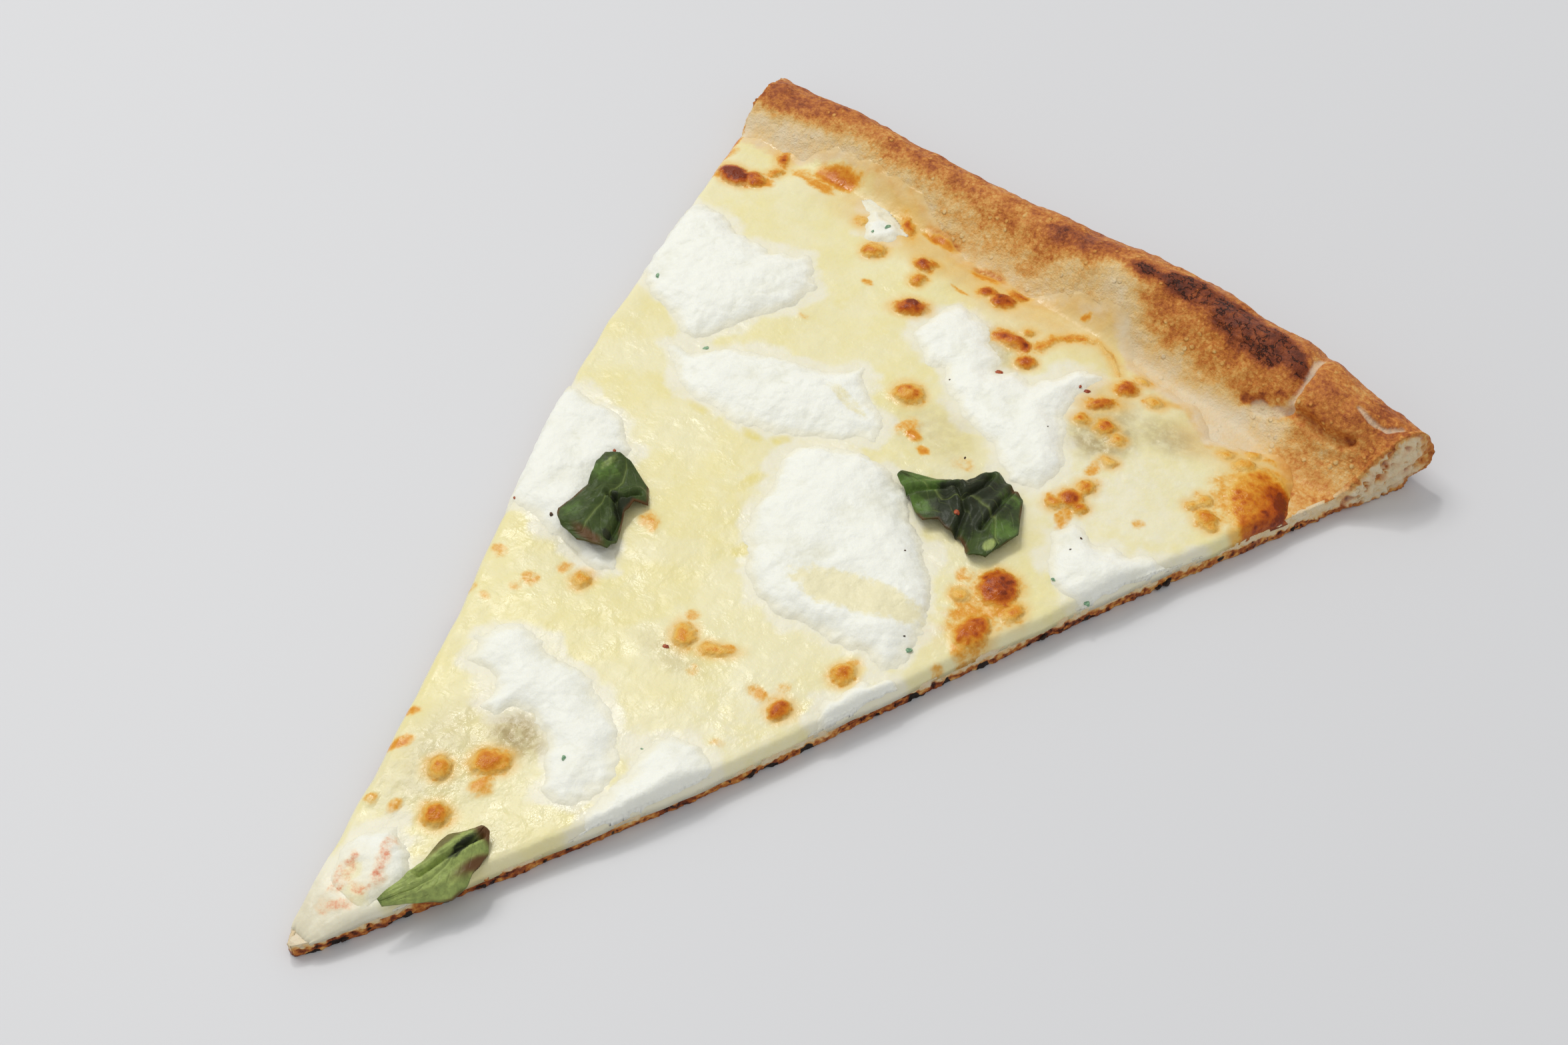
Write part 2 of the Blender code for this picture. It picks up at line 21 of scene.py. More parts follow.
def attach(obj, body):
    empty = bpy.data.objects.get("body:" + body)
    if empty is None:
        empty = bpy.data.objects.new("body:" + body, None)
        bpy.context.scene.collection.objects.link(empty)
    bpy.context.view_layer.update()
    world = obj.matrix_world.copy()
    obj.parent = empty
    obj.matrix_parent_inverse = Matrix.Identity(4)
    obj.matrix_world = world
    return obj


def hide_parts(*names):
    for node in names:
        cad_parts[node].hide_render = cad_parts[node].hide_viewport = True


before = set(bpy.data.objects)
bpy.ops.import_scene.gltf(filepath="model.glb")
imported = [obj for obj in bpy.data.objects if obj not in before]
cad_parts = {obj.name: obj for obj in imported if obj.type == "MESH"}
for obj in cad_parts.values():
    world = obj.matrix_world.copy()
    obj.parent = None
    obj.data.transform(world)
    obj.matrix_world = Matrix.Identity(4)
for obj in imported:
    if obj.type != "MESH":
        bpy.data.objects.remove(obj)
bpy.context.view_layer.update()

log = logging.getLogger("white_pizza_slice")

Array = np.ndarray
Arrays = tuple[np.ndarray, np.ndarray]
Colour = tuple[int, int, int]
Stops = tuple[tuple[float, Colour], ...]
Point = tuple[float, float]
Line = tuple[Point, ...]
Place = tuple[float, float, float]
Ramp = tuple[float, float, float]
Socket = bpy.types.NodeSocket
Material = bpy.types.Material
Node = bpy.types.Node

MM = 0.001


def smoothstep(low: float, high: float, value: Array) -> Array:
    """Gives 0 below low, 1 above high, and a smooth rise between them."""
    t = np.clip((value - low) / (high - low), 0.0, 1.0)
    return t * t * (3 - 2 * t)


def hump(value: Array, at: float, span: float) -> Array:
    """Gives a bell-shaped hump of height 1 at `at`."""
    return np.exp(-(((value - at) / span) ** 2))


def lumps(x: Array, y: Array, z: Array | float, size: float, octaves: int = 1, seed: float = 0.0) -> Array:
    """Draws smooth uneven lumps over some points.

    Args:
        x, y, z: the points, in millimetres.
        size: how large the largest lumps are, in millimetres.
        octaves: how many finer layers, each half as large, lie on each other.
        seed: another number gives other lumps of the same kind.

    Returns:
        A number from about -1 to 1 for each point.
    """
    points = np.column_stack(np.broadcast_arrays(x, y, z)) / size + (seed, -seed, seed * 0.7)
    return np.array([noise.fractal(point, 1.0, 2.0, octaves) for point in points.tolist()])


def cells(x: Array, y: Array, z: Array | float, size: float, seed: float = 0.0) -> Arrays:
    """Divides space into uneven round cells.

    Args:
        x, y, z: the points, in millimetres.
        size: the distance between the middles of the cells, in millimetres.
        seed: another number gives other cells.

    Returns:
        For each point, how far it is from its cell's middle, in cell sizes, and a number from 0 to 1
        that is the same all over its cell.
    """
    points = np.column_stack(np.broadcast_arrays(x, y, z)) / size + (seed, seed * 0.3, -seed)
    distance, lot = np.empty(len(points)), np.empty(len(points))
    for index, point in enumerate(points.tolist()):
        reach, middles = noise.voronoi(point)
        distance[index] = reach[0]
        lot[index] = (middles[0][0] * 12.9898 + middles[0][1] * 78.233 + middles[0][2] * 37.719) % 1.0
    return distance, lot


def from_line(x: Array, y: Array, line: Line) -> Array:
    """Measures how far plan positions are from a line through some points.

    Args:
        x, y: the plan positions.
        line: the points that the line runs through.

    Returns:
        The distance of each plan position from the line's nearest point.
    """
    best = np.full(np.shape(x), 1e9)
    for (ax, ay), (bx, by) in zip(line, line[1:]):
        dx, dy = bx - ax, by - ay
        along = np.clip(((x - ax) * dx + (y - ay) * dy) / (dx * dx + dy * dy), 0, 1)
        best = np.minimum(best, np.hypot(x - ax - along * dx, y - ay - along * dy))
    return best


def inside_by(x: Array, y: Array, outline: Line) -> Array:
    """Measures how far plan positions are inside an outline.

    Args:
        x, y: the plan positions.
        outline: the outline's corners, with no repeat of the first.

    Returns:
        How far inside the outline each plan position is, below 0 where it is outside.
    """
    closed = (*outline, outline[0])
    inside = np.zeros(np.shape(x), dtype=bool)
    for (ax, ay), (bx, by) in zip(closed, closed[1:]):
        if ay != by:
            inside ^= ((ay > y) != (by > y)) & (x < ax + (bx - ax) * (y - ay) / (by - ay))
    return np.where(inside, 1.0, -1.0) * from_line(x, y, closed)


@dataclass(frozen=True)
class SliceForm:
    """The slice's large forms: its outline, and the heights of its dough and cheese.

    A Ramp holds an amount, and where it starts and where it is reached.
    """

    middle: Point = (2.7, 108.0)
    tip_y: float = -1.5
    tip_radius: float = 4.0
    cut_slope: float = 0.395
    left_cut: tuple[float, float, float, float] = (1.0, 6.0, 118.0, 55.0)
    left_in: Ramp = (3.6, 200.0, 211.0)
    right_cut: tuple[float, float, float, float] = (3.0, 3.2, 55.0, 55.0)
    base_at_tip: float = 3.0
    base_at_rim: float = 4.3
    outer_y: float = 214.8
    outer_bulge: tuple[float, float, float] = (2.6, 28.0, 26.0)
    outer_drop: Ramp = (6.0, 54.0, 90.0)
    rim_low: float = 13.4
    rim_high: float = 17.6
    left_drop: Ramp = (2.8, 50.0, 84.0)
    right_drop: Ramp = (3.2, 60.0, 84.0)
    swell_range: Point = (-16.0, 22.0)
    back: Point = (7.0, 11.0)
    back_less: Ramp = (5.0, 60.0, 84.0)
    front: Point = (12.0, 15.0)
    front_range: Point = (52.0, 70.0)
    front_ease: float = 1.7
    low_equator: float = 5.6
    tuck: float = 0.4
    lift: Ramp = (3.0, 62.0, 84.0)
    tear: tuple[float, float, float] = (60.5, 1.6, 1.2)
    gap: float = 0.3
    cheese_start: float = 9.0
    cheese_thick: float = 1.9
    cheese_lip: float = 0.5
    cheese_round: float = 3.2
    cheese_border: Line = (
        (-80, 189), (-70, 191), (-60, 191), (-50, 196), (-42, 198), (-30, 197), (-15, 192), (0, 191),
        (12, 194), (22, 196), (34, 193), (45, 192), (52, 187), (57, 189), (63, 191), (70, 187), (80, 175),
    )

    def ripple(self, x: Array, y: Array, size: float, seed: float) -> Array:
        """Gives the gentle waves that the large forms have."""
        points = np.column_stack(np.broadcast_arrays(x / size, y / size, seed))
        return 1.6 * np.array([noise.noise(point) for point in points.tolist()])

    def ramped(self, ramp: Ramp, value: Array) -> Array:
        """Gives 0 before a ramp, its amount beyond it, and a smooth rise between."""
        return ramp[0] * smoothstep(ramp[1], ramp[2], value)

    def cut_sides(self, y: Array) -> Arrays:
        """Places the two cut sides, which meet in the rounded tip.

        Args:
            y: how far from the tip.

        Returns:
            The x of the left and of the right cut side.
        """
        start, bow, at, span = self.left_cut
        left = start - self.cut_slope * y - bow * hump(y, at, span) + self.ramped(self.left_in, y)
        start, bow, at, span = self.right_cut
        right = start + self.cut_slope * y + bow * hump(y, at, span)
        from_tip = np.minimum((y - self.tip_y) / self.tip_radius, 1.0)
        share = np.sqrt(np.maximum(0.0, 1 - (1 - from_tip) ** 2))
        middle, half = (left + right) / 2, (right - left) / 2 * share
        return middle - half, middle + half

    def outer_line(self, x: Array) -> Array:
        """Gives how far from the tip the rim's outermost line is."""
        height, at, span = self.outer_bulge
        return self.outer_y + height * hump(x, at, span) - self.ramped(self.outer_drop, x)

    def swell(self, x: Array) -> Array:
        """Gives 0 where the rim is low and narrow, and 1 where it is puffed up."""
        return smoothstep(*self.swell_range, x)

    def rim_back(self, x: Array) -> Array:
        """Gives how far the rim's crest is from its outermost line."""
        narrow, wide = self.back
        return narrow + (wide - narrow) * self.swell(x) - self.ramped(self.back_less, x)

    def rim_front(self, x: Array) -> Array:
        """Gives how far the rim's foot in front is from its crest."""
        short, long = self.front
        return short + (long - short) * smoothstep(*self.front_range, x)

    def crest_line(self, x: Array) -> Array:
        """Gives how far from the tip the rim's crest is."""
        return self.outer_line(x) - self.rim_back(x)

    def rim_height(self, x: Array) -> Array:
        """Gives how high the rim stands, with its low ends and its tear.

        Args:
            x: the places across the slice.

        Returns:
            The height of the rim's crest.
        """
        at, half, depth = self.tear
        high = self.rim_low + (self.rim_high - self.rim_low) * self.swell(x)
        ends = self.ramped(self.left_drop, -x) + self.ramped(self.right_drop, x)
        return high - depth * hump(x, at, half) - ends

    def across_rim(self, x: Array, y: Array) -> Array:
        """Gives -1 at the rim's foot in front and before it, 0 at its crest, 1 at its outermost line."""
        from_crest = y - self.crest_line(x)
        return np.clip(from_crest / np.where(from_crest > 0, self.rim_back(x), self.rim_front(x)), -1, 1)

    def before_foot(self, x: Array, y: Array) -> Array:
        """Gives how far in front of the rim's foot a plan position is, in millimetres."""
        return self.crest_line(x) - self.rim_front(x) - y

    def equator(self, x: Array) -> Array:
        """Gives the height of the rim's outermost line."""
        return self.low_equator + self.ramped(self.lift, x)

    def base_top(self, x: Array, y: Array) -> Array:
        """Gives the height of the flat base's upper side."""
        thick = self.base_at_tip + (self.base_at_rim - self.base_at_tip) * smoothstep(0, 190, y)
        return thick + 0.12 * self.ripple(x, y, 40.0, 3.1)

    def dough_top(self, x: Array, y: Array) -> Array:
        """Shapes the dough's upper side: the base, the slope up to the crest, and the roll behind it.

        Args:
            x, y: the plan positions.

        Returns:
            Its height at each of them.
        """
        base = self.base_top(x, y)
        across = self.across_rim(x, y)
        crest = self.rim_height(x) + 0.55 * self.ripple(x, y, 8.0, 7.7)
        equator = self.equator(x)
        behind = equator + (crest - equator) * np.sqrt(np.maximum(0.0, 1 - across * across))
        slope = np.maximum(0.0, np.cos(math.pi / 2 * np.minimum(across, 0.0))) ** self.front_ease
        return np.where(across > 0, behind, base + (crest - base) * slope)

    def dough_bottom(self, x: Array, y: Array) -> Array:
        """Gives the height of the dough's under side, which curves up behind the rim's crest."""
        across = np.maximum(0.0, self.across_rim(x, y))
        return (self.equator(x) - self.tuck) * (1 - np.sqrt(1 - across * across))

    def cheese_end(self, x: Array) -> Array:
        """Gives how far from the tip the cheese's edge towards the rim is."""
        xs, ys = zip(*self.cheese_border)
        return np.interp(x, xs, ys)

    def cheese_thickness(self, x: Array, y: Array) -> Array:
        """Tells how thick the cheese is, rounded off towards all its edges.

        Args:
            x, y: the plan positions.

        Returns:
            The thickness at each of them.
        """
        left, right = self.cut_sides(y)
        inside = np.minimum(x - left, right - x)
        inside = np.minimum(inside, np.minimum(self.cheese_end(x) - y, (y - self.cheese_start) / 2))
        from_edge = np.clip(1 - inside / self.cheese_round, 0, 1)
        body = self.cheese_thick + 0.3 * self.ripple(x, y, 17.0, 11.3)
        return self.cheese_lip + (body - self.cheese_lip) * np.sqrt(np.maximum(0.0, 1 - from_edge**2))

    def cheese_top(self, x: Array, y: Array) -> Array:
        """Gives the height of the cheese's upper side, without its blisters."""
        return self.dough_top(x, y) + self.gap + self.cheese_thickness(x, y)

    def placed(self, x: Array, y: Array, z: Array) -> Array:
        """Turns plan positions and heights in millimetres into the frame's points in metres."""
        columns = np.broadcast_arrays(x - self.middle[0], y - self.middle[1], z)
        return np.column_stack(columns) * MM


FORM = SliceForm()
SKIN_GAP = 0.12


@dataclass(frozen=True)
class Spot:
    """A browned spot, or another soft-edged patch: its middle, size, turn, strength and rise."""

    x: float
    y: float
    across: float
    along: float
    strength: float
    rise: float = 0.0
    turn: float = 0.0

    def distance(self, x: Array, y: Array) -> Array:
        """Measures how far out from the spot's middle plan positions are.

        Args:
            x, y: the plan positions.

        Returns:
            0 at the spot's middle, 1 at its edge, and more outside.
        """
        c, s = math.cos(math.radians(self.turn)), math.sin(math.radians(self.turn))
        dx, dy = x - self.x, y - self.y
        return np.hypot((dx * c + dy * s) / self.across, (dy * c - dx * s) / self.along)

    def mask(self, x: Array, y: Array, soft: float = 0.5) -> Array:
        """Gives the spot's strength inside it, and 0 outside, with an edge as soft as `soft`."""
        return self.strength * smoothstep(1 + soft, 1 - soft, self.distance(x, y))


def spots(*rows: tuple[float, ...]) -> tuple[Spot, ...]:
    """Makes a spot of each row of numbers."""
    return tuple(Spot(*row) for row in rows)


def painted(patches: Iterable[Spot], x: Array, y: Array, soft: float = 0.5) -> Array:
    """Puts several spots together.

    Args:
        patches: the spots.
        x, y: the plan positions.
        soft: how soft their edges are, as a share of their size.

    Returns:
        The strongest of their masks at each plan position.
    """
    total = np.zeros(np.shape(x))
    for spot in patches:
        total = np.maximum(total, spot.mask(x, y, soft))
    return total


STREAKS: tuple[Line, ...] = (
    ((1.5, 21.8), (3.8, 18.4), (5.1, 15.9), (6.4, 14.7)),
    ((2.4, 6.2), (4.9, 9.1)),
    ((2.1, 10.1), (0.6, 12.6), (-0.2, 15.5)),
    ((4.6, 11.8), (6.0, 12.8)),
)


def streaks(x: Array, y: Array) -> Array:
    """Draws the streaks of pepper oil at the tip.

    Args:
        x, y: the plan positions.

    Returns:
        How strongly the streaks colour each of them, from 0 to 1.
    """
    ragged = 1.1 * lumps(x, y, 0.0, 2.6, 3, 8.3)
    return np.max([smoothstep(2.6, 0.2, from_line(x, y, line) + ragged) for line in STREAKS], axis=0)


class Layer(Enum):
    """The material kinds: dough, cheese, ricotta and basil."""

    DOUGH = "dough"
    CHEESE = "cheese"
    RICOTTA = "ricotta"
    BASIL = "basil"


def deselect() -> None:
    """Leaves nothing selected, so that operators act on new pieces alone."""
    bpy.ops.object.select_all(action="DESELECT")


class Piece:
    """A mesh piece: a primitive that is given its form point by point, then marked and dressed."""

    def __init__(self, name: str) -> None:
        """Takes the selected new primitive as the piece.

        Args:
            name: the piece's name.
        """
        self.item = bpy.context.object
        self.item.name = name
        self.item.data.name = name

    @property
    def mesh(self) -> bpy.types.Mesh:
        """The piece's mesh."""
        return self.item.data

    def points(self) -> Array:
        """Gives the mesh's points, one row each."""
        return self.read(self.mesh.vertices, "co")

    def shape(self, points: Array) -> None:
        """Moves the mesh's points to these, in metres."""
        self.mesh.vertices.foreach_set("co", np.ascontiguousarray(points, dtype=np.float64).ravel())
        self.mesh.update()

    def normals(self) -> Array:
        """Gives the direction that each point of the mesh faces."""
        return self.read(self.mesh.vertex_normals, "vector")

    def read(self, rows: bpy.types.bpy_prop_collection, key: str) -> Array:
        """Reads three numbers for each point of the mesh.

        Args:
            rows: what the mesh keeps for its points.
            key: which of its properties is read.

        Returns:
            One row of three numbers for each point.
        """
        flat = np.empty(len(rows) * 3)
        rows.foreach_get(key, flat)
        return flat.reshape(-1, 3)

    def push(self, amount: Array) -> None:
        """Moves each point outwards by its own amount, in millimetres."""
        self.shape(self.points() + self.normals() * amount[:, None] * MM)

    def mark(self, name: str, values: Array) -> None:
        """Keeps a number for each point of the mesh, which its material reads."""
        layer = self.mesh.attributes.new(name, "FLOAT", "POINT")
        layer.data.foreach_set("value", np.ascontiguousarray(values, dtype=np.float32))

    def apply(self, kind: str, **settings: object) -> None:
        """Adds a modifier and applies it.

        Args:
            kind: the modifier's type.
            settings: the modifier's own properties.
        """
        deselect()
        self.item.select_set(True)
        bpy.context.view_layer.objects.active = self.item
        modifier = self.item.modifiers.new(kind.lower(), kind)
        for key, value in settings.items():
            setattr(modifier, key, value)
        bpy.ops.object.modifier_apply(modifier=modifier.name)

    def thicken(self, steps: int = 1) -> None:
        """Extrudes the flat mesh that is in edit mode to a closed solid 1 high, and leaves edit mode.

        Args:
            steps: how many rings of faces its sides get.
        """
        bpy.ops.mesh.select_all(action="SELECT")
        for _ in range(steps):
            bpy.ops.mesh.extrude_region_move(TRANSFORM_OT_translate={"value": (0, 0, 1.0 / steps)})
        bpy.ops.mesh.select_all(action="SELECT")
        bpy.ops.mesh.normals_make_consistent(inside=False)
        bpy.ops.object.mode_set(mode="OBJECT")

    def dress(self, material: Material, layer: Layer, nodes: Sequence[str] = ()) -> None:
        """Gives the piece its finish, hangs it under the root body, and hides the CAD nodes that it replaces.

        Args:
            material: the finish.
            layer: the piece's material kind; not used.
            nodes: the CAD nodes that the piece replaces.
        """
        self.mesh.materials.clear()
        self.mesh.materials.append(material)
        self.mesh.shade_smooth()
        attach(self.item, "root")
        if nodes:
            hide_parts(*nodes)
        log.info("%s: %d faces", self.item.name, len(self.mesh.polygons))


class Sheet(Piece):
    """A closed solid worked up from a flat grid that is extruded, with u, v and depth for each point."""

    def __init__(self, name: str, columns: int, rows: int, steps: int = 1) -> None:
        """Makes the grid and extrudes it.

        Args:
            name: the piece's name.
            columns: how many faces the grid has along u.
            rows: how many faces the grid has along v.
            steps: how many rings of faces its sides have.
        """
        deselect()
        bpy.ops.mesh.primitive_grid_add(
            x_subdivisions=columns, y_subdivisions=rows, size=1.0, location=(0, 0, 0)
        )
        super().__init__(name)
        bpy.ops.object.mode_set(mode="EDIT")
        self.thicken(steps)
        grid = self.points()
        self.u = grid[:, 0] + 0.5
        self.v = grid[:, 1] + 0.5
        self.depth = 1.0 - grid[:, 2]

    def thin_out(self, ratio: float) -> None:
        """Takes faces away, all of them from the hidden under side.

        Args:
            ratio: the share of all faces that stays.
        """
        group = self.item.vertex_groups.new(name="under")
        under = np.nonzero(self.depth > 0.99)[0]
        group.add(under.tolist(), 1.0, "REPLACE")
        self.apply("DECIMATE", ratio=ratio, vertex_group="under", vertex_group_factor=1.0)
        self.item.vertex_groups.clear()


class Patch(Piece):
    """A closed solid worked up from a grid that is trimmed round an outline and then extruded."""

    def __init__(
        self, name: str, step: float, low: Point, high: Point, keep: Callable[[Array, Array], Array]
    ) -> None:
        """Makes the grid, trims it and extrudes it.

        Args:
            name: the piece's name.
            step: how wide the grid's faces are, in millimetres.
            low, high: the corners of the grid's plan, in millimetres.
            keep: tells which plan positions are kept.
        """
        wide, long = high[0] - low[0], high[1] - low[1]
        deselect()
        bpy.ops.mesh.primitive_grid_add(
            x_subdivisions=int(wide / step), y_subdivisions=int(long / step), size=1.0, location=(0, 0, 0)
        )
        super().__init__(name)
        grid = self.points()
        kept = keep(low[0] + (grid[:, 0] + 0.5) * wide, low[1] + (grid[:, 1] + 0.5) * long)
        bpy.ops.object.mode_set(mode="EDIT")
        bpy.ops.mesh.select_mode(type="VERT")
        bpy.ops.mesh.select_all(action="DESELECT")
        bpy.ops.object.mode_set(mode="OBJECT")
        self.mesh.vertices.foreach_set("select", ~kept)
        bpy.ops.object.mode_set(mode="EDIT")
        bpy.ops.mesh.delete(type="VERT")
        bpy.ops.mesh.select_all(action="SELECT")
        bpy.ops.mesh.delete_loose(use_faces=False)
        self.thicken()
        grid = self.points()
        self.x = low[0] + (grid[:, 0] + 0.5) * wide
        self.y = low[1] + (grid[:, 1] + 0.5) * long
        self.upper = grid[:, 2] > 0.5


class Graph:
    """Adds shader nodes to a node tree and wires them."""

    def __init__(self, tree: bpy.types.NodeTree) -> None:
        """Takes the node tree to work on."""
        self.tree = tree

    def node(
        self, kind: str, inputs: dict[str | int, object] | None = None, **settings: object
    ) -> Node:
        """Adds a node.

        Args:
            kind: the node's type name, without its "ShaderNode" prefix.
            inputs: sockets by name or number, each with a value or another node's output.
            settings: the node's own properties.

        Returns:
            The new node.
        """
        made = self.tree.nodes.new("ShaderNode" + kind)
        for key, value in settings.items():
            setattr(made, key, value)
        for key, value in (inputs or {}).items():
            if isinstance(value, Socket):
                self.tree.links.new(value, made.inputs[key])
            else:
                made.inputs[key].default_value = value
        return made

    def mark(self, name: str) -> Socket:
        """Reads a number that the mesh keeps for each point."""
        return self.node("Attribute", attribute_name=name, attribute_type="GEOMETRY").outputs["Fac"]

    def place(self) -> Socket:
        """Reads the place on the object."""
        return self.node("TexCoord").outputs["Object"]

    def grain(self, size: float, detail: float = 2.0, rough: float = 0.5) -> Socket:
        """Draws noise whose largest lumps have this size in millimetres."""
        inputs = {"Vector": self.place(), "Scale": 1000.0 / size, "Detail": detail, "Roughness": rough}
        return self.node("TexNoise", inputs).outputs["Fac"]

    def pebbles(self, size: float) -> Socket:
        """Gives the distance from the middle of uneven cells of this size in millimetres."""
        inputs = {"Vector": self.place(), "Scale": 1000.0 / size}
        return self.node("TexVoronoi", inputs).outputs["Distance"]

    def maths(self, operation: str, a: object, b: object = 0.0) -> Socket:
        """Works out one operation on two numbers."""
        return self.node("Math", {0: a, 1: b}, operation=operation).outputs[0]

    def feed(self, value: Socket, node: Node, name: str) -> None:
        """Links a value to one of a node's inputs."""
        self.tree.links.new(value, node.inputs[name])

    def add(self, a: object, b: object) -> Socket:
        """Adds two numbers."""
        return self.maths("ADD", a, b)

    def less(self, a: object, b: object) -> Socket:
        """Takes the second number from the first."""
        return self.maths("SUBTRACT", a, b)

    def times(self, a: object, b: object) -> Socket:
        """Multiplies two numbers."""
        return self.maths("MULTIPLY", a, b)

    def centred(self, value: object, amount: float) -> Socket:
        """Gives how far a noise is from its middle, times an amount."""
        return self.times(self.less(value, 0.5), amount)

    def frayed(self, name: str, size: float, detail: float, rough: float, amount: float) -> Socket:
        """Reads a mark, with its edges frayed by grain of this size and amount."""
        return self.add(self.mark(name), self.centred(self.grain(size, detail, rough), amount))

    def levels(self, value: object, low: float, high: float, to: Point = (0.0, 1.0)) -> Socket:
        """Maps low..high smoothly onto the range `to`."""
        inputs = {"Value": value, "From Min": low, "From Max": high, "To Min": to[0], "To Max": to[1]}
        return self.node("MapRange", inputs, interpolation_type="SMOOTHSTEP").outputs["Result"]

    def mix(self, share: object, a: object, b: object, blend: str = "MIX") -> Socket:
        """Mixes two colours."""
        made = self.node("Mix", {0: share, 6: a, 7: b}, data_type="RGBA", blend_type=blend)
        return made.outputs[2]

    def streaked(self, base: object) -> Socket:
        """Lays the orange-red streaks of pepper oil, and a paler wash around them, over a colour.

        Args:
            base: the colour beneath.

        Returns:
            The colour with its streaks, where the mark streak says.
        """
        mark = self.mark("streak")
        level = self.add(mark, self.centred(self.grain(1.6, 4.0, 0.7), 2.0))
        near = self.levels(mark, 0.1, 0.9)
        wash = self.times(self.levels(level, 0.2, 1.3, (0.0, 0.5)), near)
        core = self.times(self.levels(level, 0.8, 1.6, (0.0, 0.9)), near)
        return self.mix(core, self.mix(wash, base, rgb(OIL_WASH)), rgb(OIL_STREAK))

    def ramp(self, value: object, stops: Stops) -> Socket:
        """Turns a number into a colour.

        Args:
            value: the number.
            stops: the colours that it runs through, each with the number where it is reached.

        Returns:
            The colour.
        """
        made = self.node("ValToRGB", {"Fac": value})
        elements = made.color_ramp.elements
        while len(elements) < len(stops):
            elements.new(1.0)
        for element, (at, colour) in zip(elements, stops):
            element.position = at
            element.color = rgb(colour)
        return made.outputs["Color"]

    def bump(self, height: object, distance: float, strength: float) -> Socket:
        """Gives a surface direction bent by a height, whose range is `distance` millimetres."""
        inputs = {"Height": height, "Distance": distance * MM, "Strength": strength}
        return self.node("Bump", inputs).outputs["Normal"]


def rgb(colour: Colour) -> tuple[float, float, float, float]:
    """Turns a display colour into the linear colour that shaders use.

    Args:
        colour: red, green and blue, from 0 to 255.

    Returns:
        Linear red, green, blue and alpha, from 0 to 1.
    """
    share = [channel / 255 for channel in colour]
    linear = [c / 12.92 if c <= 0.04045 else ((c + 0.055) / 1.055) ** 2.4 for c in share]
    return (*linear, 1.0)


def new_group(name: str, sockets: Sequence[tuple[str, str, str]]) -> tuple[bpy.types.NodeTree, Graph]:
    """Starts a shader node group.

    Args:
        name: the group's name.
        sockets: each socket's name, INPUT or OUTPUT, and Float or Color.

    Returns:
        The group and a graph to fill it with.
    """
    tree = bpy.data.node_groups.new(name, "ShaderNodeTree")
    for label, side, kind in sockets:
        tree.interface.new_socket(name=label, in_out=side, socket_type="NodeSocket" + kind)
    return tree, Graph(tree)


CRUST: Stops = (
    (0.0, (228, 213, 182)), (0.2, (230, 196, 134)), (0.35, (222, 166, 88)), (0.5, (200, 124, 52)),
    (0.65, (164, 86, 36)), (0.8, (122, 56, 26)), (0.92, (86, 38, 20)), (1.0, (54, 30, 22)),
)


OIL_WASH: Colour = (240, 198, 146)
OIL_STREAK: Colour = (220, 92, 34)


@dataclass(frozen=True)
class Browning:
    """How cheese turns golden, orange and dark red-brown in the oven, as a shared node group."""

    stops: Stops = (
        (0.0, (234, 198, 118)), (0.3, (230, 178, 78)), (0.48, (220, 148, 42)), (0.64, (204, 116, 20)),
        (0.8, (182, 86, 10)), (0.92, (156, 64, 8)), (1.0, (124, 46, 8)),
    )

    def group(self) -> bpy.types.NodeTree:
        """Builds the node group.

        Returns:
            A group that paints blisters over a base colour. Edge is how far inside a blister's outline
            a point is, in millimetres, Tone is how dark the blister is, and Stain is a soft browning.
        """
        tree, g = new_group("browning", (
            ("Base", "INPUT", "Color"), ("Edge", "INPUT", "Float"), ("Tone", "INPUT", "Float"),
            ("Stain", "INPUT", "Float"), ("Colour", "OUTPUT", "Color"), ("Share", "OUTPUT", "Float"),
        ))
        inlet = g.tree.nodes.new("NodeGroupInput").outputs
        outlet = g.tree.nodes.new("NodeGroupOutput").inputs
        coarse = g.centred(g.grain(2.4, 3.0, 0.55), 1.3)
        fine = g.centred(g.grain(0.8, 3.0, 0.6), 0.8)
        wander = g.add(g.times(coarse, 0.38), g.times(fine, 0.28))
        edge = g.add(inlet["Edge"], wander)
        inside = g.levels(edge, -0.5, 0.55)
        depth = g.levels(edge, -0.4, 1.5, (-0.36, 0.04))
        bubble = g.levels(g.pebbles(1.7), 0.55, 0.1, (-0.08, 0.08))
        uneven = g.add(g.times(coarse, 0.42), g.times(fine, 0.42))
        tone = g.add(g.add(inlet["Tone"], depth), g.add(uneven, bubble))
        halo = g.levels(edge, -2.4, 0.2, (0.0, 0.7))
        glow = g.maths("MAXIMUM", inlet["Stain"], g.levels(edge, -2.0, 0.3, (0.0, 0.36)))
        stain = g.add(glow, g.times(uneven, g.levels(glow, 0.02, 0.3)))
        stained = g.maths("MAXIMUM", halo, g.levels(stain, 0.05, 0.45))
        colour = g.mix(stained, inlet["Base"], g.ramp(stain, self.stops))
        colour = g.mix(inside, colour, g.ramp(tone, self.stops))
        tree.links.new(colour, outlet["Colour"])
        tree.links.new(inside, outlet["Share"])
        return tree


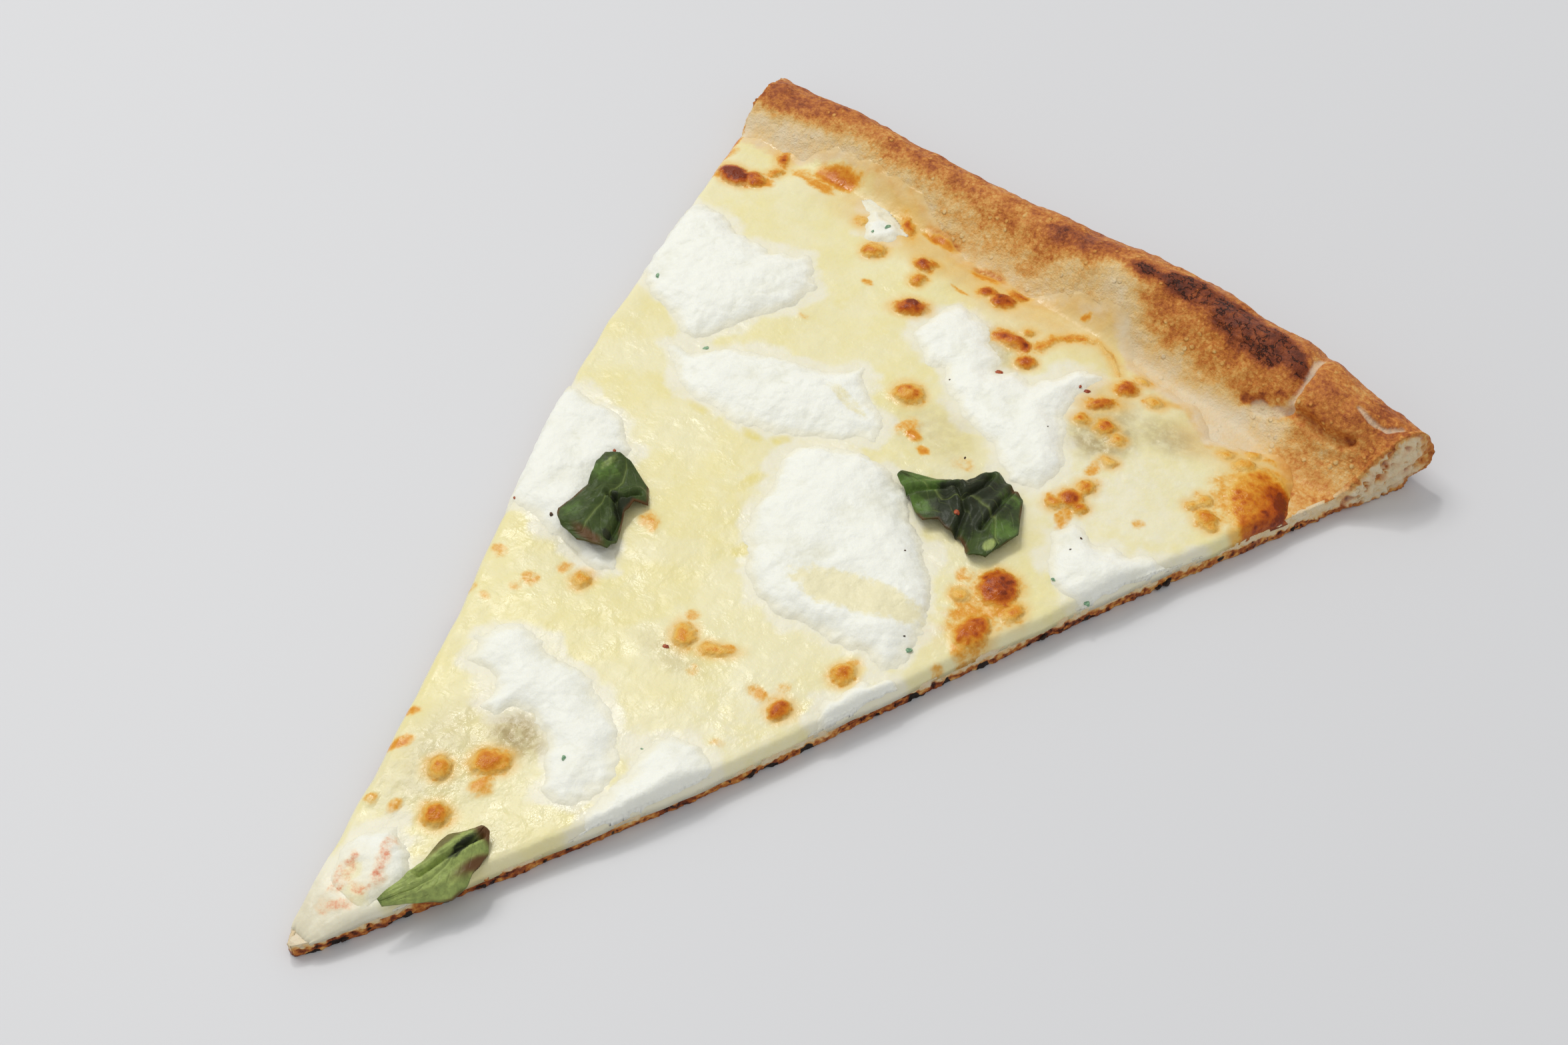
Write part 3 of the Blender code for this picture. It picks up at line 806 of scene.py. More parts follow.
@dataclass(frozen=True)
class Finish:
    """What all finishes share: a name, and a material whose shader is ready to be wired."""

    name: str

    def start(self) -> tuple[Material, Graph, Node]:
        """Makes a new material.

        Returns:
            The material, a graph on its nodes and its Principled shader.
        """
        material = bpy.data.materials.new(self.name)
        material.use_nodes = True
        return material, Graph(material.node_tree), material.node_tree.nodes["Principled BSDF"]

    def settle(self, shader: Node, glow: float, depth: float, gloss: float) -> None:
        """Sets how much light the surface scatters, how deep in metres, and how strongly it reflects.

        Args:
            shader: the Principled shader.
            glow: the share of scattered light.
            depth: how far that light travels inside, in metres.
            gloss: the strength of reflections, where 0.5 is usual.
        """
        shader.inputs["Subsurface Weight"].default_value = glow
        shader.inputs["Subsurface Scale"].default_value = depth
        shader.inputs["Specular IOR Level"].default_value = gloss


@dataclass(frozen=True)
class BakedDough(Finish):
    """Baked dough: pale by the cheese, golden and orange on the rim and dark brown on its crest."""

    name: str = "baked dough"
    crumb: Colour = (226, 213, 186)
    char: Colour = (40, 29, 24)

    def build(self) -> Material:
        """Builds the material.

        Returns:
            A material that reads the marks bake, crumb, char, wet and skin.
        """
        material, g, shader = self.start()
        # The browning mark also holds painted shade under the torn lip, in the fold's crease and in the cut
        # faces' pits and pores.
        bake = g.mark("bake")
        mottle = g.centred(g.grain(3.6, 5.0, 0.65), 0.62)
        speckle = g.centred(g.grain(0.9, 3.0, 0.62), 0.42)
        amount = g.times(g.levels(bake, 0.02, 0.45, (0.18, 1.0)), g.levels(bake, 0.62, 0.8, (1.0, 0.6)))
        bubble = g.pebbles(1.9)
        bubbly = g.levels(g.grain(5.0), 0.5, 0.62)
        blister = g.times(g.levels(bubble, 0.34, 0.16), bubbly)
        ring = g.times(g.levels(bubble, 0.5, 0.36), bubbly)
        tone = g.add(bake, g.times(g.add(mottle, speckle), amount))
        ringed = g.less(g.times(ring, 0.06), g.times(blister, 0.2))
        tone = g.add(tone, g.times(ringed, amount))
        crack = g.levels(g.maths("ABSOLUTE", g.centred(g.grain(2.6, 4.0, 0.6), 1.0)), 0.03, 0.0)
        crack = g.times(crack, g.levels(bake, 0.62, 0.8))
        # Painted shade: the tone is darkened along the cracks in the darkest crust, which the bump also
        # sinks.
        tone = g.add(tone, g.times(crack, 0.22))
        colour = g.ramp(tone, CRUST)
        colour = g.mix(g.mark("crumb"), colour, rgb(self.crumb))
        charred = g.levels(g.add(g.mark("char"), speckle), 0.35, 0.65)
        colour = g.mix(charred, colour, rgb(self.char))
        g.feed(colour, shader, "Base Color")
        dry = g.levels(g.grain(5.0, 3.0), 0.3, 0.7, (0.44, 0.66))
        wet = g.times(g.mark("wet"), 0.24)
        g.feed(g.less(dry, wet), shader, "Roughness")
        skin = g.add(g.grain(1.2, 4.0, 0.65), g.times(g.grain(0.4, 2.0), 0.35))
        skin = g.add(skin, g.times(blister, 0.5))
        skin = g.less(skin, g.times(crack, 0.5))
        skin = g.times(skin, g.levels(g.mark("skin"), 0.0, 1.0, (0.45, 1.0)))
        g.feed(g.bump(skin, 0.55, 0.9), shader, "Normal")
        self.settle(shader, 0.05, 0.001, 0.25)
        return material


@dataclass(frozen=True)
class MeltedCheese(Finish):
    """Melted cheese: creamy yellow going whitish, glossy with oil, and browned on its blisters."""

    name: str = "melted cheese"
    yellow: Colour = (234, 224, 164)
    pale: Colour = (236, 229, 186)
    milky: Colour = (237, 233, 210)
    clear: Colour = (184, 166, 120)
    golden: Colour = (226, 188, 114)
    oily: Colour = (228, 212, 116)

    def build(self, browning: bpy.types.NodeTree) -> Material:
        """Builds the material.

        Args:
            browning: the shared browning group.

        Returns:
            A material that reads the marks edge, tone, stain, white, thin, gold, oil, wet, streak,
            bake and merge.
        """
        material, g, shader = self.start()
        drift = g.levels(g.grain(16.0, 4.0, 0.55), 0.4, 0.66)
        colour = g.mix(drift, rgb(self.yellow), rgb(self.pale))
        strands = g.levels(g.grain(4.2, 5.0, 0.65), 0.35, 0.7, (0.0, 0.5))
        colour = g.mix(strands, colour, rgb(self.pale))
        white = g.frayed("white", 3.0, 5.0, 0.65, 0.6)
        colour = g.mix(g.levels(white, 0.2, 0.8), colour, rgb(self.milky))
        oil = g.frayed("oil", 3.4, 4.0, 0.6, 0.6)
        colour = g.mix(g.levels(oil, 0.3, 0.8, (0.0, 0.7)), colour, rgb(self.oily))
        patchy = g.levels(g.grain(2.2, 4.0, 0.62), 0.36, 0.6, (0.5, 1.0))
        thin = g.times(g.mark("thin"), patchy)
        colour = g.mix(thin, colour, rgb(self.clear))
        gold = g.mark("gold")
        gold = g.add(gold, g.times(g.centred(g.grain(3.6, 4.0, 0.6), 0.8), gold))
        colour = g.mix(gold, colour, rgb(self.golden))
        bake = g.mark("bake")
        mottle = g.centred(g.grain(3.6, 5.0, 0.65), 0.62)
        crust = g.add(bake, g.times(g.levels(bake, 0.02, 0.45, (0.18, 1.0)), mottle))
        merge = g.frayed("merge", 2.0, 4.0, 0.6, 0.7)
        colour = g.mix(g.levels(merge, 0.3, 0.9), colour, g.ramp(crust, CRUST))
        colour = g.streaked(colour)
        brown = g.node("Group", node_tree=browning)
        g.feed(colour, brown, "Base")
        for mark in ("edge", "tone", "stain"):
            g.feed(g.mark(mark), brown, mark.capitalize())
        g.feed(brown.outputs["Colour"], shader, "Base Color")
        rough = g.levels(g.grain(6.0, 4.0, 0.6), 0.35, 0.65, (0.22, 0.42))
        rough = g.less(rough, g.times(g.mark("wet"), 0.12))
        g.feed(rough, shader, "Roughness")
        melt = g.add(g.grain(2.6, 4.0, 0.5), g.times(g.grain(0.7, 2.0), 0.14))
        seared = g.times(g.grain(0.8, 3.0, 0.6), brown.outputs["Share"])
        swollen = g.times(brown.outputs["Share"], 0.7)
        melt = g.add(melt, g.add(seared, swollen))
        beads = g.add(g.levels(g.pebbles(2.2), 0.7, 0.0, (0.0, 0.4)), g.grain(1.7, 4.0, 0.6))
        melt = g.add(melt, g.times(g.mark("wet"), g.times(beads, 0.9)))
        g.feed(g.bump(melt, 0.4, 0.6), shader, "Normal")
        shader.inputs["Subsurface Radius"].default_value = (1.0, 0.8, 0.45)
        self.settle(shader, 0.12, 0.0009, 0.22)
        return material


@dataclass(frozen=True)
class SoftCurd(Finish):
    """Ricotta: off-white fine curd, moist, with painted shade greying its hollows and its edge."""

    name: str = "ricotta"
    light: Colour = (244, 245, 234)
    hollow_shade: Colour = (230, 229, 210)
    melted: Colour = (240, 236, 212)
    glazed: Colour = (238, 231, 192)

    def build(self) -> Material:
        """Builds the material.

        Returns:
            A material that reads the marks curd_shade, rim, glaze and streak.
        """
        material, g, shader = self.start()
        # Painted shade: a greyer colour is mixed in where the curd's relief dips and along its edge.
        shade = g.frayed("curd_shade", 2.4, 5.0, 0.6, 0.5)
        colour = g.mix(g.levels(shade, 0.25, 0.95), rgb(self.light), rgb(self.hollow_shade))
        rim = g.frayed("rim", 2.0, 4.0, 0.6, 0.5)
        colour = g.mix(g.levels(rim, 0.1, 1.0, (0.0, 0.85)), colour, rgb(self.melted))
        glaze = g.frayed("glaze", 1.6, 5.0, 0.65, 1.2)
        glaze = g.times(g.levels(glaze, 0.25, 0.75), g.levels(g.mark("glaze"), 0.02, 0.2))
        colour = g.mix(glaze, colour, rgb(self.glazed))
        colour = g.streaked(colour)
        g.feed(colour, shader, "Base Color")
        rough = g.levels(g.grain(4.0, 3.0), 0.35, 0.65, (0.36, 0.6))
        g.feed(g.less(rough, g.times(glaze, 0.16)), shader, "Roughness")
        curd = g.add(g.grain(1.5, 6.0, 0.62), g.times(g.pebbles(0.8), -0.15))
        g.feed(g.bump(curd, 0.42, 0.6), shader, "Normal")
        shader.inputs["Subsurface Radius"].default_value = (1.0, 0.95, 0.8)
        self.settle(shader, 0.2, 0.001, 0.3)
        return material


@dataclass(frozen=True)
class Leaf(Finish):
    """A wilted basil leaf: green with paler veins, blackened where it is bruised, with a satin gloss."""

    name: str = "basil"
    green: Colour = (66, 82, 38)
    fresh: Colour = (88, 116, 50)
    pale: Colour = (158, 174, 98)
    bruised: Colour = (46, 52, 34)
    browned: Colour = (96, 66, 38)

    def build(self) -> Material:
        """Builds the material.

        Returns:
            A material that reads the marks vein, fresh, pale, bruise and dry.
        """
        material, g, shader = self.start()
        drift = g.centred(g.grain(2.6, 4.0, 0.6), 0.9)
        fresh = g.levels(g.add(g.mark("fresh"), drift), 0.3, 0.7)
        colour = g.mix(fresh, rgb(self.green), rgb(self.fresh))
        pale = g.levels(g.add(g.mark("pale"), drift), 0.3, 0.8)
        colour = g.mix(pale, colour, rgb(self.pale))
        tissue = g.levels(g.grain(0.9, 4.0, 0.6), 0.35, 0.7, (0.0, 0.3))
        colour = g.mix(tissue, colour, rgb(self.bruised))
        bruise = g.add(g.mark("bruise"), drift)
        colour = g.mix(g.levels(bruise, 0.35, 0.7), colour, rgb(self.bruised))
        colour = g.mix(g.times(g.mark("vein"), 0.3), colour, rgb(self.pale))
        colour = g.mix(g.mark("dry"), colour, rgb(self.browned))
        g.feed(colour, shader, "Base Color")
        g.feed(g.levels(g.grain(3.0, 2.0), 0.3, 0.7, (0.3, 0.5)), shader, "Roughness")
        g.feed(g.bump(g.grain(0.9, 4.0, 0.6), 0.25, 0.6), shader, "Normal")
        self.settle(shader, 0.03, 0.0006, 0.18)
        return material


@dataclass(frozen=True)
class Fleck(Finish):
    """A plain fleck of dried herb, pepper or burnt crumb, mottled with a darker tone."""

    name: str = "fleck"
    light: Colour = (70, 96, 50)
    dark: Colour = (38, 54, 32)
    roughness: float = 0.6

    def build(self) -> Material:
        """Builds the material.

        Returns:
            A material that needs no marks.
        """
        material, g, shader = self.start()
        colour = g.mix(g.levels(g.grain(0.5, 3.0), 0.35, 0.65), rgb(self.light), rgb(self.dark))
        g.feed(colour, shader, "Base Color")
        g.feed(g.bump(g.grain(0.4, 3.0), 0.15, 0.6), shader, "Normal")
        shader.inputs["Roughness"].default_value = self.roughness
        shader.inputs["Specular IOR Level"].default_value = 0.3
        return material


@dataclass(frozen=True)
class CutPoints:
    """What a cut face knows of its points; rim is 1 on the rim, and pit and pore are 1 deep in a hole."""

    edge: Array
    y: Array
    z: Array
    level: Array
    top: Array
    bottom: Array
    rim: Array
    crumbling: Array
    pit: Array
    pore: Array


@dataclass(frozen=True)
class CutFace:
    """The torn face of one cut: scorched under side, open crumb, and the rim's crumb.

    The side is -1 for the left cut and 1 for the right one.
    """

    name: str
    side: int
    corner_x: float
    tip_scorch: float
    columns: int = 900
    rows: int = 40
    base_columns: float = 0.66
    base_share: float = 0.85
    rim_columns: float = 0.34
    rim_share: float = 0.15
    inwards: float = 0.8
    least_relief: float = 0.06

    def points(self, sheet: Sheet, outer: float) -> CutPoints:
        """Spreads a sheet over the face.

        Args:
            sheet: the sheet, whose u runs along the cut and v upwards.
            outer: how far from the tip the rim ends here.

        Returns:
            What is known of its points.
        """
        along = sheet.u if self.side > 0 else 1 - sheet.u
        on_base = along / self.base_columns * self.base_share
        on_rim = self.base_share + (along - self.base_columns) / self.rim_columns * self.rim_share
        share = np.where(along < self.base_columns, on_base, on_rim)
        y = FORM.tip_y + 0.2 + (outer - 0.5 - FORM.tip_y) * share
        edge = FORM.cut_sides(y)[0 if self.side < 0 else 1]
        top, bottom = FORM.dough_top(edge, y), FORM.dough_bottom(edge, y)
        z = bottom + (top - bottom - SKIN_GAP) * sheet.v
        rim = smoothstep(-1.0, -0.7, FORM.across_rim(edge, y))
        pit, lot = cells(edge, y, z * 1.3, 1.5, 3.0)
        pore, chance = cells(edge, y, z, 3.4, 5.0)
        crumbling = lumps(edge, y, z, 1.6, 4, 2.7)
        pitted = smoothstep(0.0, 0.5, lumps(edge, y, z, 6.0, 2, 9.7) + 0.3)
        open_pit = smoothstep(0.5, 0.15, pit) * (lot > 0.45) * pitted
        small_pore = 0.7 * smoothstep(0.5, 0.2, pit) * (lot > 0.4)
        open_pore = np.maximum(smoothstep(0.5, 0.2, pore) * (chance > 0.3), small_pore) * rim
        return CutPoints(edge, y, z, sheet.v, top, bottom, rim, crumbling, open_pit, open_pore)

    def relief(self, at: CutPoints) -> Array:
        """Draws the torn crumb.

        Args:
            at: the face's points.

        Returns:
            How far each point stands out of the cut's plane, in millimetres.
        """
        proud = 0.3 + 0.8 * at.rim + 0.34 * at.crumbling - 0.45 * at.pit * (1 - at.rim) - 1.2 * at.pore
        proud += 0.4 * lumps(0.0, at.y, 0.0, 9.0, 3, 4.4 + self.side) * smoothstep(3.0, 8.0, at.y)
        torn = 0.9 * lumps(at.edge, at.y, at.z, 4.4, 3, 6.1) + 0.3 * lumps(at.edge, at.y, at.z, 1.3, 3, 9.1)
        proud += at.rim * (torn - 0.5 * smoothstep(0.8, 1.0, at.level))
        proud -= 0.3 * smoothstep(0.85, 1.0, at.level)
        return np.maximum(proud, self.least_relief)

    def mark(self, sheet: Sheet, at: CutPoints, outer: float) -> None:
        """Marks the scorched under side, the skin round the rim's crumb, and the crumb itself, with painted
        shade in its pits and pores.

        Args:
            sheet: the face's sheet.
            at: its points.
            outer: how far from the tip the rim ends here.
        """
        height = at.z - at.bottom
        rise = 1.9 + 0.9 * lumps(0.0, at.y, 0.0, 7.0, 3, 8.1 + self.side) - 1.1 * at.rim
        rise = rise + self.tip_scorch * smoothstep(45, 12, at.y)
        scorched = smoothstep(0.5, -0.4, height - rise + 0.6 * at.crumbling)
        skin = at.rim * smoothstep(1.3, 0.6, (at.top - at.z) + 0.6 * at.crumbling)
        far = smoothstep(outer - 5.0, outer - 2.0, at.y + 1.6 * lumps(at.edge, at.y, at.z, 2.2, 3, 3.1))
        baked = np.maximum(scorched, np.maximum(skin, far))
        crust = 0.6 + 0.36 * lumps(at.edge, at.y, at.z, 1.1, 3, 5.0)
        # Painted shade: pits darken the scorched crust.
        crust = crust + 0.2 * lumps(0.0, at.y, 0.0, 8.0, 2, 6.0) + 0.2 * at.pit
        crust = crust + (0.5 + 0.16 * at.crumbling - crust) * at.rim
        inner = 0.1 + 0.1 * at.rim + (0.12 + 0.16 * at.rim) * lumps(at.edge, at.y, at.z, 2.0, 4, 5.4)
        # Painted shade: pits and pores darken the crumb's tone.
        inner = inner + 0.12 * at.pit + 0.34 * at.pore
        sheet.mark("bake", np.clip(inner + (crust - inner) * baked, 0, 1))
        # Painted shade: inside pits and pores less of the pale crumb colour is laid on.
        solid = 1 - 0.9 * at.pore - 0.5 * at.pit
        sheet.mark("crumb", (1 - baked) * (0.35 + 0.25 * at.rim) * solid)
        burnt = smoothstep(0.16, 0.5, lumps(0.0, at.y, at.z * 0.6, 3.4, 3, 13.0 + self.side))
        burnt = burnt * scorched * smoothstep(2.4, 0.9, height)
        sheet.mark("char", 0.9 * burnt * smoothstep(194.0, 189.0, at.y))
        sheet.mark("wet", np.zeros(len(at.y)))
        sheet.mark("skin", np.ones(len(at.y)))

    def build(self, finish: Material) -> None:
        """Builds the face.

        Args:
            finish: the dough's finish.
        """
        sheet = Sheet(self.name, self.columns, self.rows)
        outer = float(FORM.outer_line(np.array([self.corner_x]))[0])
        at = self.points(sheet, outer)
        x = at.edge + self.side * np.where(sheet.depth > 0.5, -self.inwards, self.relief(at))
        wavy = 0.1 * lumps(at.edge, at.y, 0.0, 2.0, 2, 1.0) * (at.bottom > 0.4)
        sheet.shape(FORM.placed(x, at.y, np.maximum(0.0, at.z + wavy)))
        self.mark(sheet, at, outer)
        sheet.dress(finish, Layer.DOUGH)


@dataclass
class Dough:
    """The base and its baked rim, with the raw faces of the two cuts."""

    columns: int = 420
    rows: int = 170
    kept_faces: float = 0.58
    cuts: tuple[CutFace, ...] = (
        CutFace("cut_face_left", -1, -82.0, -0.8), CutFace("cut_face_right", 1, 84.0, 0.5),
    )
    row_stops: tuple[float, float, float, float] = (0.06, 0.14, 0.34, 0.73)
    tip_zone: float = 10.0
    band: float = 14.0
    roll_turn: float = 0.96
    tear_line: Line = (
        (61.0, 208.0), (61.0, 206.1), (61.7, 202.7), (61.9, 199.5), (61.3, 197.0), (58.0, 196.1),
        (54.7, 196.5),
    )
    # Painted shadow under the torn lip: the dough's tone is darkened along this line.
    lip_shadow_line: Line = ((60.6, 201.0), (60.0, 199.0), (57.0, 197.8), (52.0, 197.0))
    # The fold's crease, cut into the relief and also darkened with painted shade.
    fold_line: Line = ((61.4, 196.8), (65.5, 196.6), (70.0, 195.9), (74.1, 196.7), (75.3, 197.3))
    side_tear: Line = ((73.0, 201.8), (76.0, 201.3), (79.5, 201.9), (81.3, 204.2))
    brown_edge: Line = (
        (-82, 203.4), (-60, 204.6), (-43, 205.2), (-25, 204.4), (-11.5, 202.4), (2.9, 202.4), (9.6, 204.6),
        (17.4, 206.4), (22.5, 203.6), (30.3, 200.2), (41.9, 199.0), (53.9, 198.0), (61, 197.6), (70, 196.0),
        (80, 197.5),
    )
    dark_front: Line = (
        (17.4, 205.6), (26.9, 204.2), (36.1, 204.4), (44.4, 202.2), (51.7, 201.2), (59.4, 201.3),
        (61.7, 203.1),
    )
    dark_back: Line = (
        (17.4, 206.0), (19.6, 206.8), (32.5, 210.0), (43.0, 209.6), (53.7, 208.3), (59.2, 205.2),
        (61.7, 203.1),
    )
    band_tone: Line = (
        (-85, 0.1), (-54, 0.1), (-44, 0.2), (-20, 0.22), (14, 0.17), (22, 0.08), (40, 0.06), (58, 0.04),
        (63, 0.14), (69, 0.34), (80, 0.38),
    )
    baked: tuple[Spot, ...] = spots(
        (-73, 208, 11, 4.2, 0.62), (-60, 210, 10, 3, 0.56), (6, 206.8, 9, 3.2, 0.68),
        (-32, 208.4, 12, 3, 0.55), (45, 200.3, 9, 2, 0.44), (30, 202, 6, 1.6, 0.5), (69, 200, 6.5, 4, 0.56),
        (79, 205, 6, 5, 0.6), (77.5, 198.5, 3, 2.4, 0.46), (71, 192, 8, 3.2, 0.36),
        (-22, 197.6, 4.6, 1.5, 0.46, 0, 6), (-8.4, 195.6, 4, 1.4, 0.44, 0, 6), (-2, 199.6, 3, 1.2, 0.4),
    )

    def plan(self, sheet: Sheet) -> Arrays:
        """Spreads a sheet's points over the dough, closest together over the band and the rim.

        Args:
            sheet: the sheet, whose u runs across the slice and v away from its tip.

        Returns:
            The plan positions x and y.
        """
        u, v = sheet.u, sheet.v
        tip, middle, band, roll = self.row_stops
        first = FORM.tip_y + 0.1
        y = np.full(len(u), FORM.outer_y)
        for _ in range(5):
            left, right = FORM.cut_sides(y)
            x = left + (right - left) * u
            foot = FORM.crest_line(x) - FORM.rim_front(x)
            y = first + (self.tip_zone - first) * np.clip(v / tip, 0, 1)
            y += (foot - self.band - self.tip_zone) * np.clip((v - tip) / (middle - tip), 0, 1)
            y += self.band * np.clip((v - middle) / (band - middle), 0, 1)
            y += FORM.rim_front(x) * np.clip((v - band) / (roll - band), 0, 1)
            turned = self.roll_turn * math.pi / 2 * np.clip((v - roll) / (1 - roll), 0, 1)
            y += FORM.rim_back(x) * np.sin(turned)
        return x, y

    def dark(self, x: Array, y: Array) -> Array:
        """Finds where the crest is baked darkest.

        Args:
            x, y: the plan positions.

        Returns:
            1 in the darkest patch, 0 away from it, with a ragged edge between.
        """
        front = np.interp(x, *zip(*self.dark_front))
        back = np.interp(x, *zip(*self.dark_back))
        inside = np.minimum(y - front, back - y) + 1.1 * lumps(x, y, 0.0, 4.0, 4, 3.6)
        return smoothstep(-1.9, 1.2, inside) * smoothstep(15.5, 20.0, x) * smoothstep(63.5, 60.5, x)

    def tears(self, x: Array, y: Array, z: Array) -> Arrays:
        """Measures how far points are from the torn places of the rim.

        Args:
            x, y, z: the points.

        Returns:
            How far each one is from the tear in the crest, and from the one at the right end.
        """
        torn = from_line(x, y, self.tear_line) + 0.35 * lumps(x, y, z, 1.4, 3, 5.5)
        side = from_line(x, y, self.side_tear) + 0.3 * lumps(x, y, z, 1.4, 3, 7.5)
        return torn, side

    def relief(self, x: Array, y: Array, z: Array) -> Array:
        """Draws the fine forms of the dough's upper skin.

        Args:
            x, y, z: the points.

        Returns:
            How far the skin stands out of its smooth form at each of them, in millimetres.
        """
        across = FORM.across_rim(x, y)
        on_rim = smoothstep(-1.0, -0.62, across)
        skin = 0.45 * lumps(x, y, z, 10.0, 2, 1.3) + 0.2 * lumps(x, y, z, 3.0, 3, 4.1)
        distance, lot = cells(x, y, z, 3.0, 2.0)
        skin += 0.16 * smoothstep(0.5, 0.2, distance) * (lot > 0.55)
        creases = np.abs(lumps(x * 0.35, y, z, 2.4, 2, 9.2))
        skin -= 0.25 * smoothstep(0.1, 0.0, creases) * self.dark(x, y)
        torn, side = self.tears(x, y, z)
        folded = from_line(x, y, self.fold_line) + 0.2 * lumps(x, y, z, 2.0, 2, 6.5)
        behind = y - np.interp(x, *zip(*self.fold_line))
        on_flap = smoothstep(61.6, 63.0, x) * smoothstep(78.5, 73.0, x)
        skin += 1.3 * on_flap * smoothstep(0.1, 1.5, behind) * smoothstep(8.5, 2.5, behind)
        skin += 0.3 * on_flap * hump(behind, -1.5, 0.7)
        puffed = smoothstep(61.4, 59.6, x) * smoothstep(44.0, 54.0, x) * smoothstep(196.8, 198.6, y)
        skin += 0.7 * puffed * smoothstep(206.0, 200.5, y)
        skin -= 0.5 * smoothstep(1.2, 0.2, torn) + 1.1 * smoothstep(1.1, 0.1, folded)
        skin -= 0.6 * smoothstep(0.9, 0.2, side)
        near_foot = smoothstep(self.band, self.band * 0.6, FORM.before_foot(x, y))
        band = 0.12 * lumps(x, y, 0.0, 4.0, 3, 8.8) * near_foot
        band += 0.3 * lumps(x, y, 0.0, 2.6, 3, 6.8) * smoothstep(12.0, 6.0, y)
        return skin * on_rim + band * (1 - on_rim)

    def bake(self, x: Array, y: Array, z: Array) -> Array:
        """Tells how far the dough is baked, with painted shade under the torn lip and in the fold's crease.

        Args:
            x, y, z: the points.

        Returns:
            For each of them, from 0, pale, to 1, nearly black.
        """
        edge = np.interp(x, *zip(*self.brown_edge))
        ragged = 1.9 * lumps(x, y, z, 5.0, 4, 3.3)
        soft = np.interp(x, (-60, -45, 10, 24, 60, 66), (0.6, 1.2, 1.0, 2.4, 2.4, 2.4))
        rise = smoothstep(-2.8 - soft, 2.0, y - edge + ragged)
        pale = np.interp(x, *zip(*self.band_tone)) + 0.08 * lumps(x, y, z, 3.4, 4, 1.9)
        tone = pale + (0.475 + 0.08 * lumps(x, y, z, 8.0, 2, 5.9) - pale) * rise
        for spot in self.baked:
            share = smoothstep(1.45, 0.55, spot.distance(x, y))
            tone = tone + (spot.strength - tone) * share
        tone = tone + (0.81 + 0.1 * lumps(x, y, z, 2.4, 3, 6.3) - tone) * self.dark(x, y)
        broken = smoothstep(-0.25, 0.25, lumps(x, y, z, 2.4, 3, 2.6))
        # Painted shadow under the torn lip and painted shade in the fold's crease darken the tone along both
        # lines.
        lip = smoothstep(1.6, 0.2, from_line(x, y, self.lip_shadow_line) + 0.5 * lumps(x, y, z, 1.8, 2, 2.6))
        fold = smoothstep(1.5, 0.0, from_line(x, y, self.fold_line) + 0.5 * lumps(x, y, z, 2.2, 2, 1.6))
        tone = np.maximum(tone, (0.5 + 0.14 * broken) * np.maximum(lip, fold))
        behind = smoothstep(0.25, 0.7, FORM.across_rim(x, y))
        tone = tone + (0.6 + 0.1 * lumps(x, y, z, 8.0, 3, 4.9) - tone) * behind * 0.7
        return np.clip(tone + 0.2 * smoothstep(3.5, 0.5, z) * smoothstep(200, 206, y), 0.0, 1.0)

    def build_body(self, finish: Material) -> None:
        """Builds the dough itself.

        Args:
            finish: the dough's finish.
        """
        sheet = Sheet("dough_skin", self.columns, self.rows, steps=3)
        x, y = self.plan(sheet)
        top, bottom = FORM.dough_top(x, y), FORM.dough_bottom(x, y)
        z = bottom + (top - bottom - SKIN_GAP) * (1 - sheet.depth)
        sheet.shape(FORM.placed(x, y, z))
        upper = sheet.depth < 0.01
        amount = np.zeros(len(x))
        amount[upper] = self.relief(x[upper], y[upper], z[upper])
        sheet.push(amount)
        beneath = 0.6 + 0.16 * lumps(x, y, 0.0, 9.0, 3, 2.2) + 0.1 * lumps(x, y, 0.0, 2.5, 3, 8.2)
        tone = np.where(sheet.depth > 0.5, beneath, self.bake(x, y, z))
        tip = smoothstep(11.0, 3.0, y)
        at_tip = 0.02 + 0.5 * smoothstep(2.4, 1.2, z) + 0.16 * lumps(x, y, z, 2.4, 3, 3.9)
        tone = tone + (at_tip - tone) * tip * (sheet.depth < 0.5)
        torn, side = self.tears(x, y, z)
        # Browning, with painted shade under the torn lip and in the fold's crease.
        sheet.mark("bake", np.clip(tone, 0, 1))
        open_crumb = np.maximum(0.62 * smoothstep(0.95, 0.4, torn), 0.6 * smoothstep(0.7, 0.2, side))
        sheet.mark("crumb", np.maximum(open_crumb, 0.6 * tip) * upper)
        soot = smoothstep(0.25, 0.6, lumps(x, y, 0.0, 7.0, 3, 12.2)) * 0.9 * smoothstep(1.0, 0.95, sheet.v)
        sheet.mark("char", np.where(sheet.depth > 0.9, soot, 0.0))
        shiny = smoothstep(-46, -38, x) * smoothstep(26, 12, x) * smoothstep(203, 197, y)
        sheet.mark("wet", np.maximum(shiny, 0.8 * smoothstep(66, 70, x) * smoothstep(197, 194, y)))
        sheet.mark("skin", smoothstep(-1.0, -0.5, FORM.across_rim(x, y)))
        sheet.thin_out(self.kept_faces)
        sheet.dress(finish, Layer.DOUGH, ["dough"])

    def build(self, finish: Material) -> None:
        """Builds the dough and both cut faces.

        Args:
            finish: the dough's finish.
        """
        self.build_body(finish)
        for cut in self.cuts:
            cut.build(finish)


@dataclass(frozen=True)
class CheesePoints:
    """What the cheese knows of its points: their places, and how far in from its edges they are."""

    x: Array
    y: Array
    end_x: Array
    inside: Array
    to_rim: Array
    from_start: Array


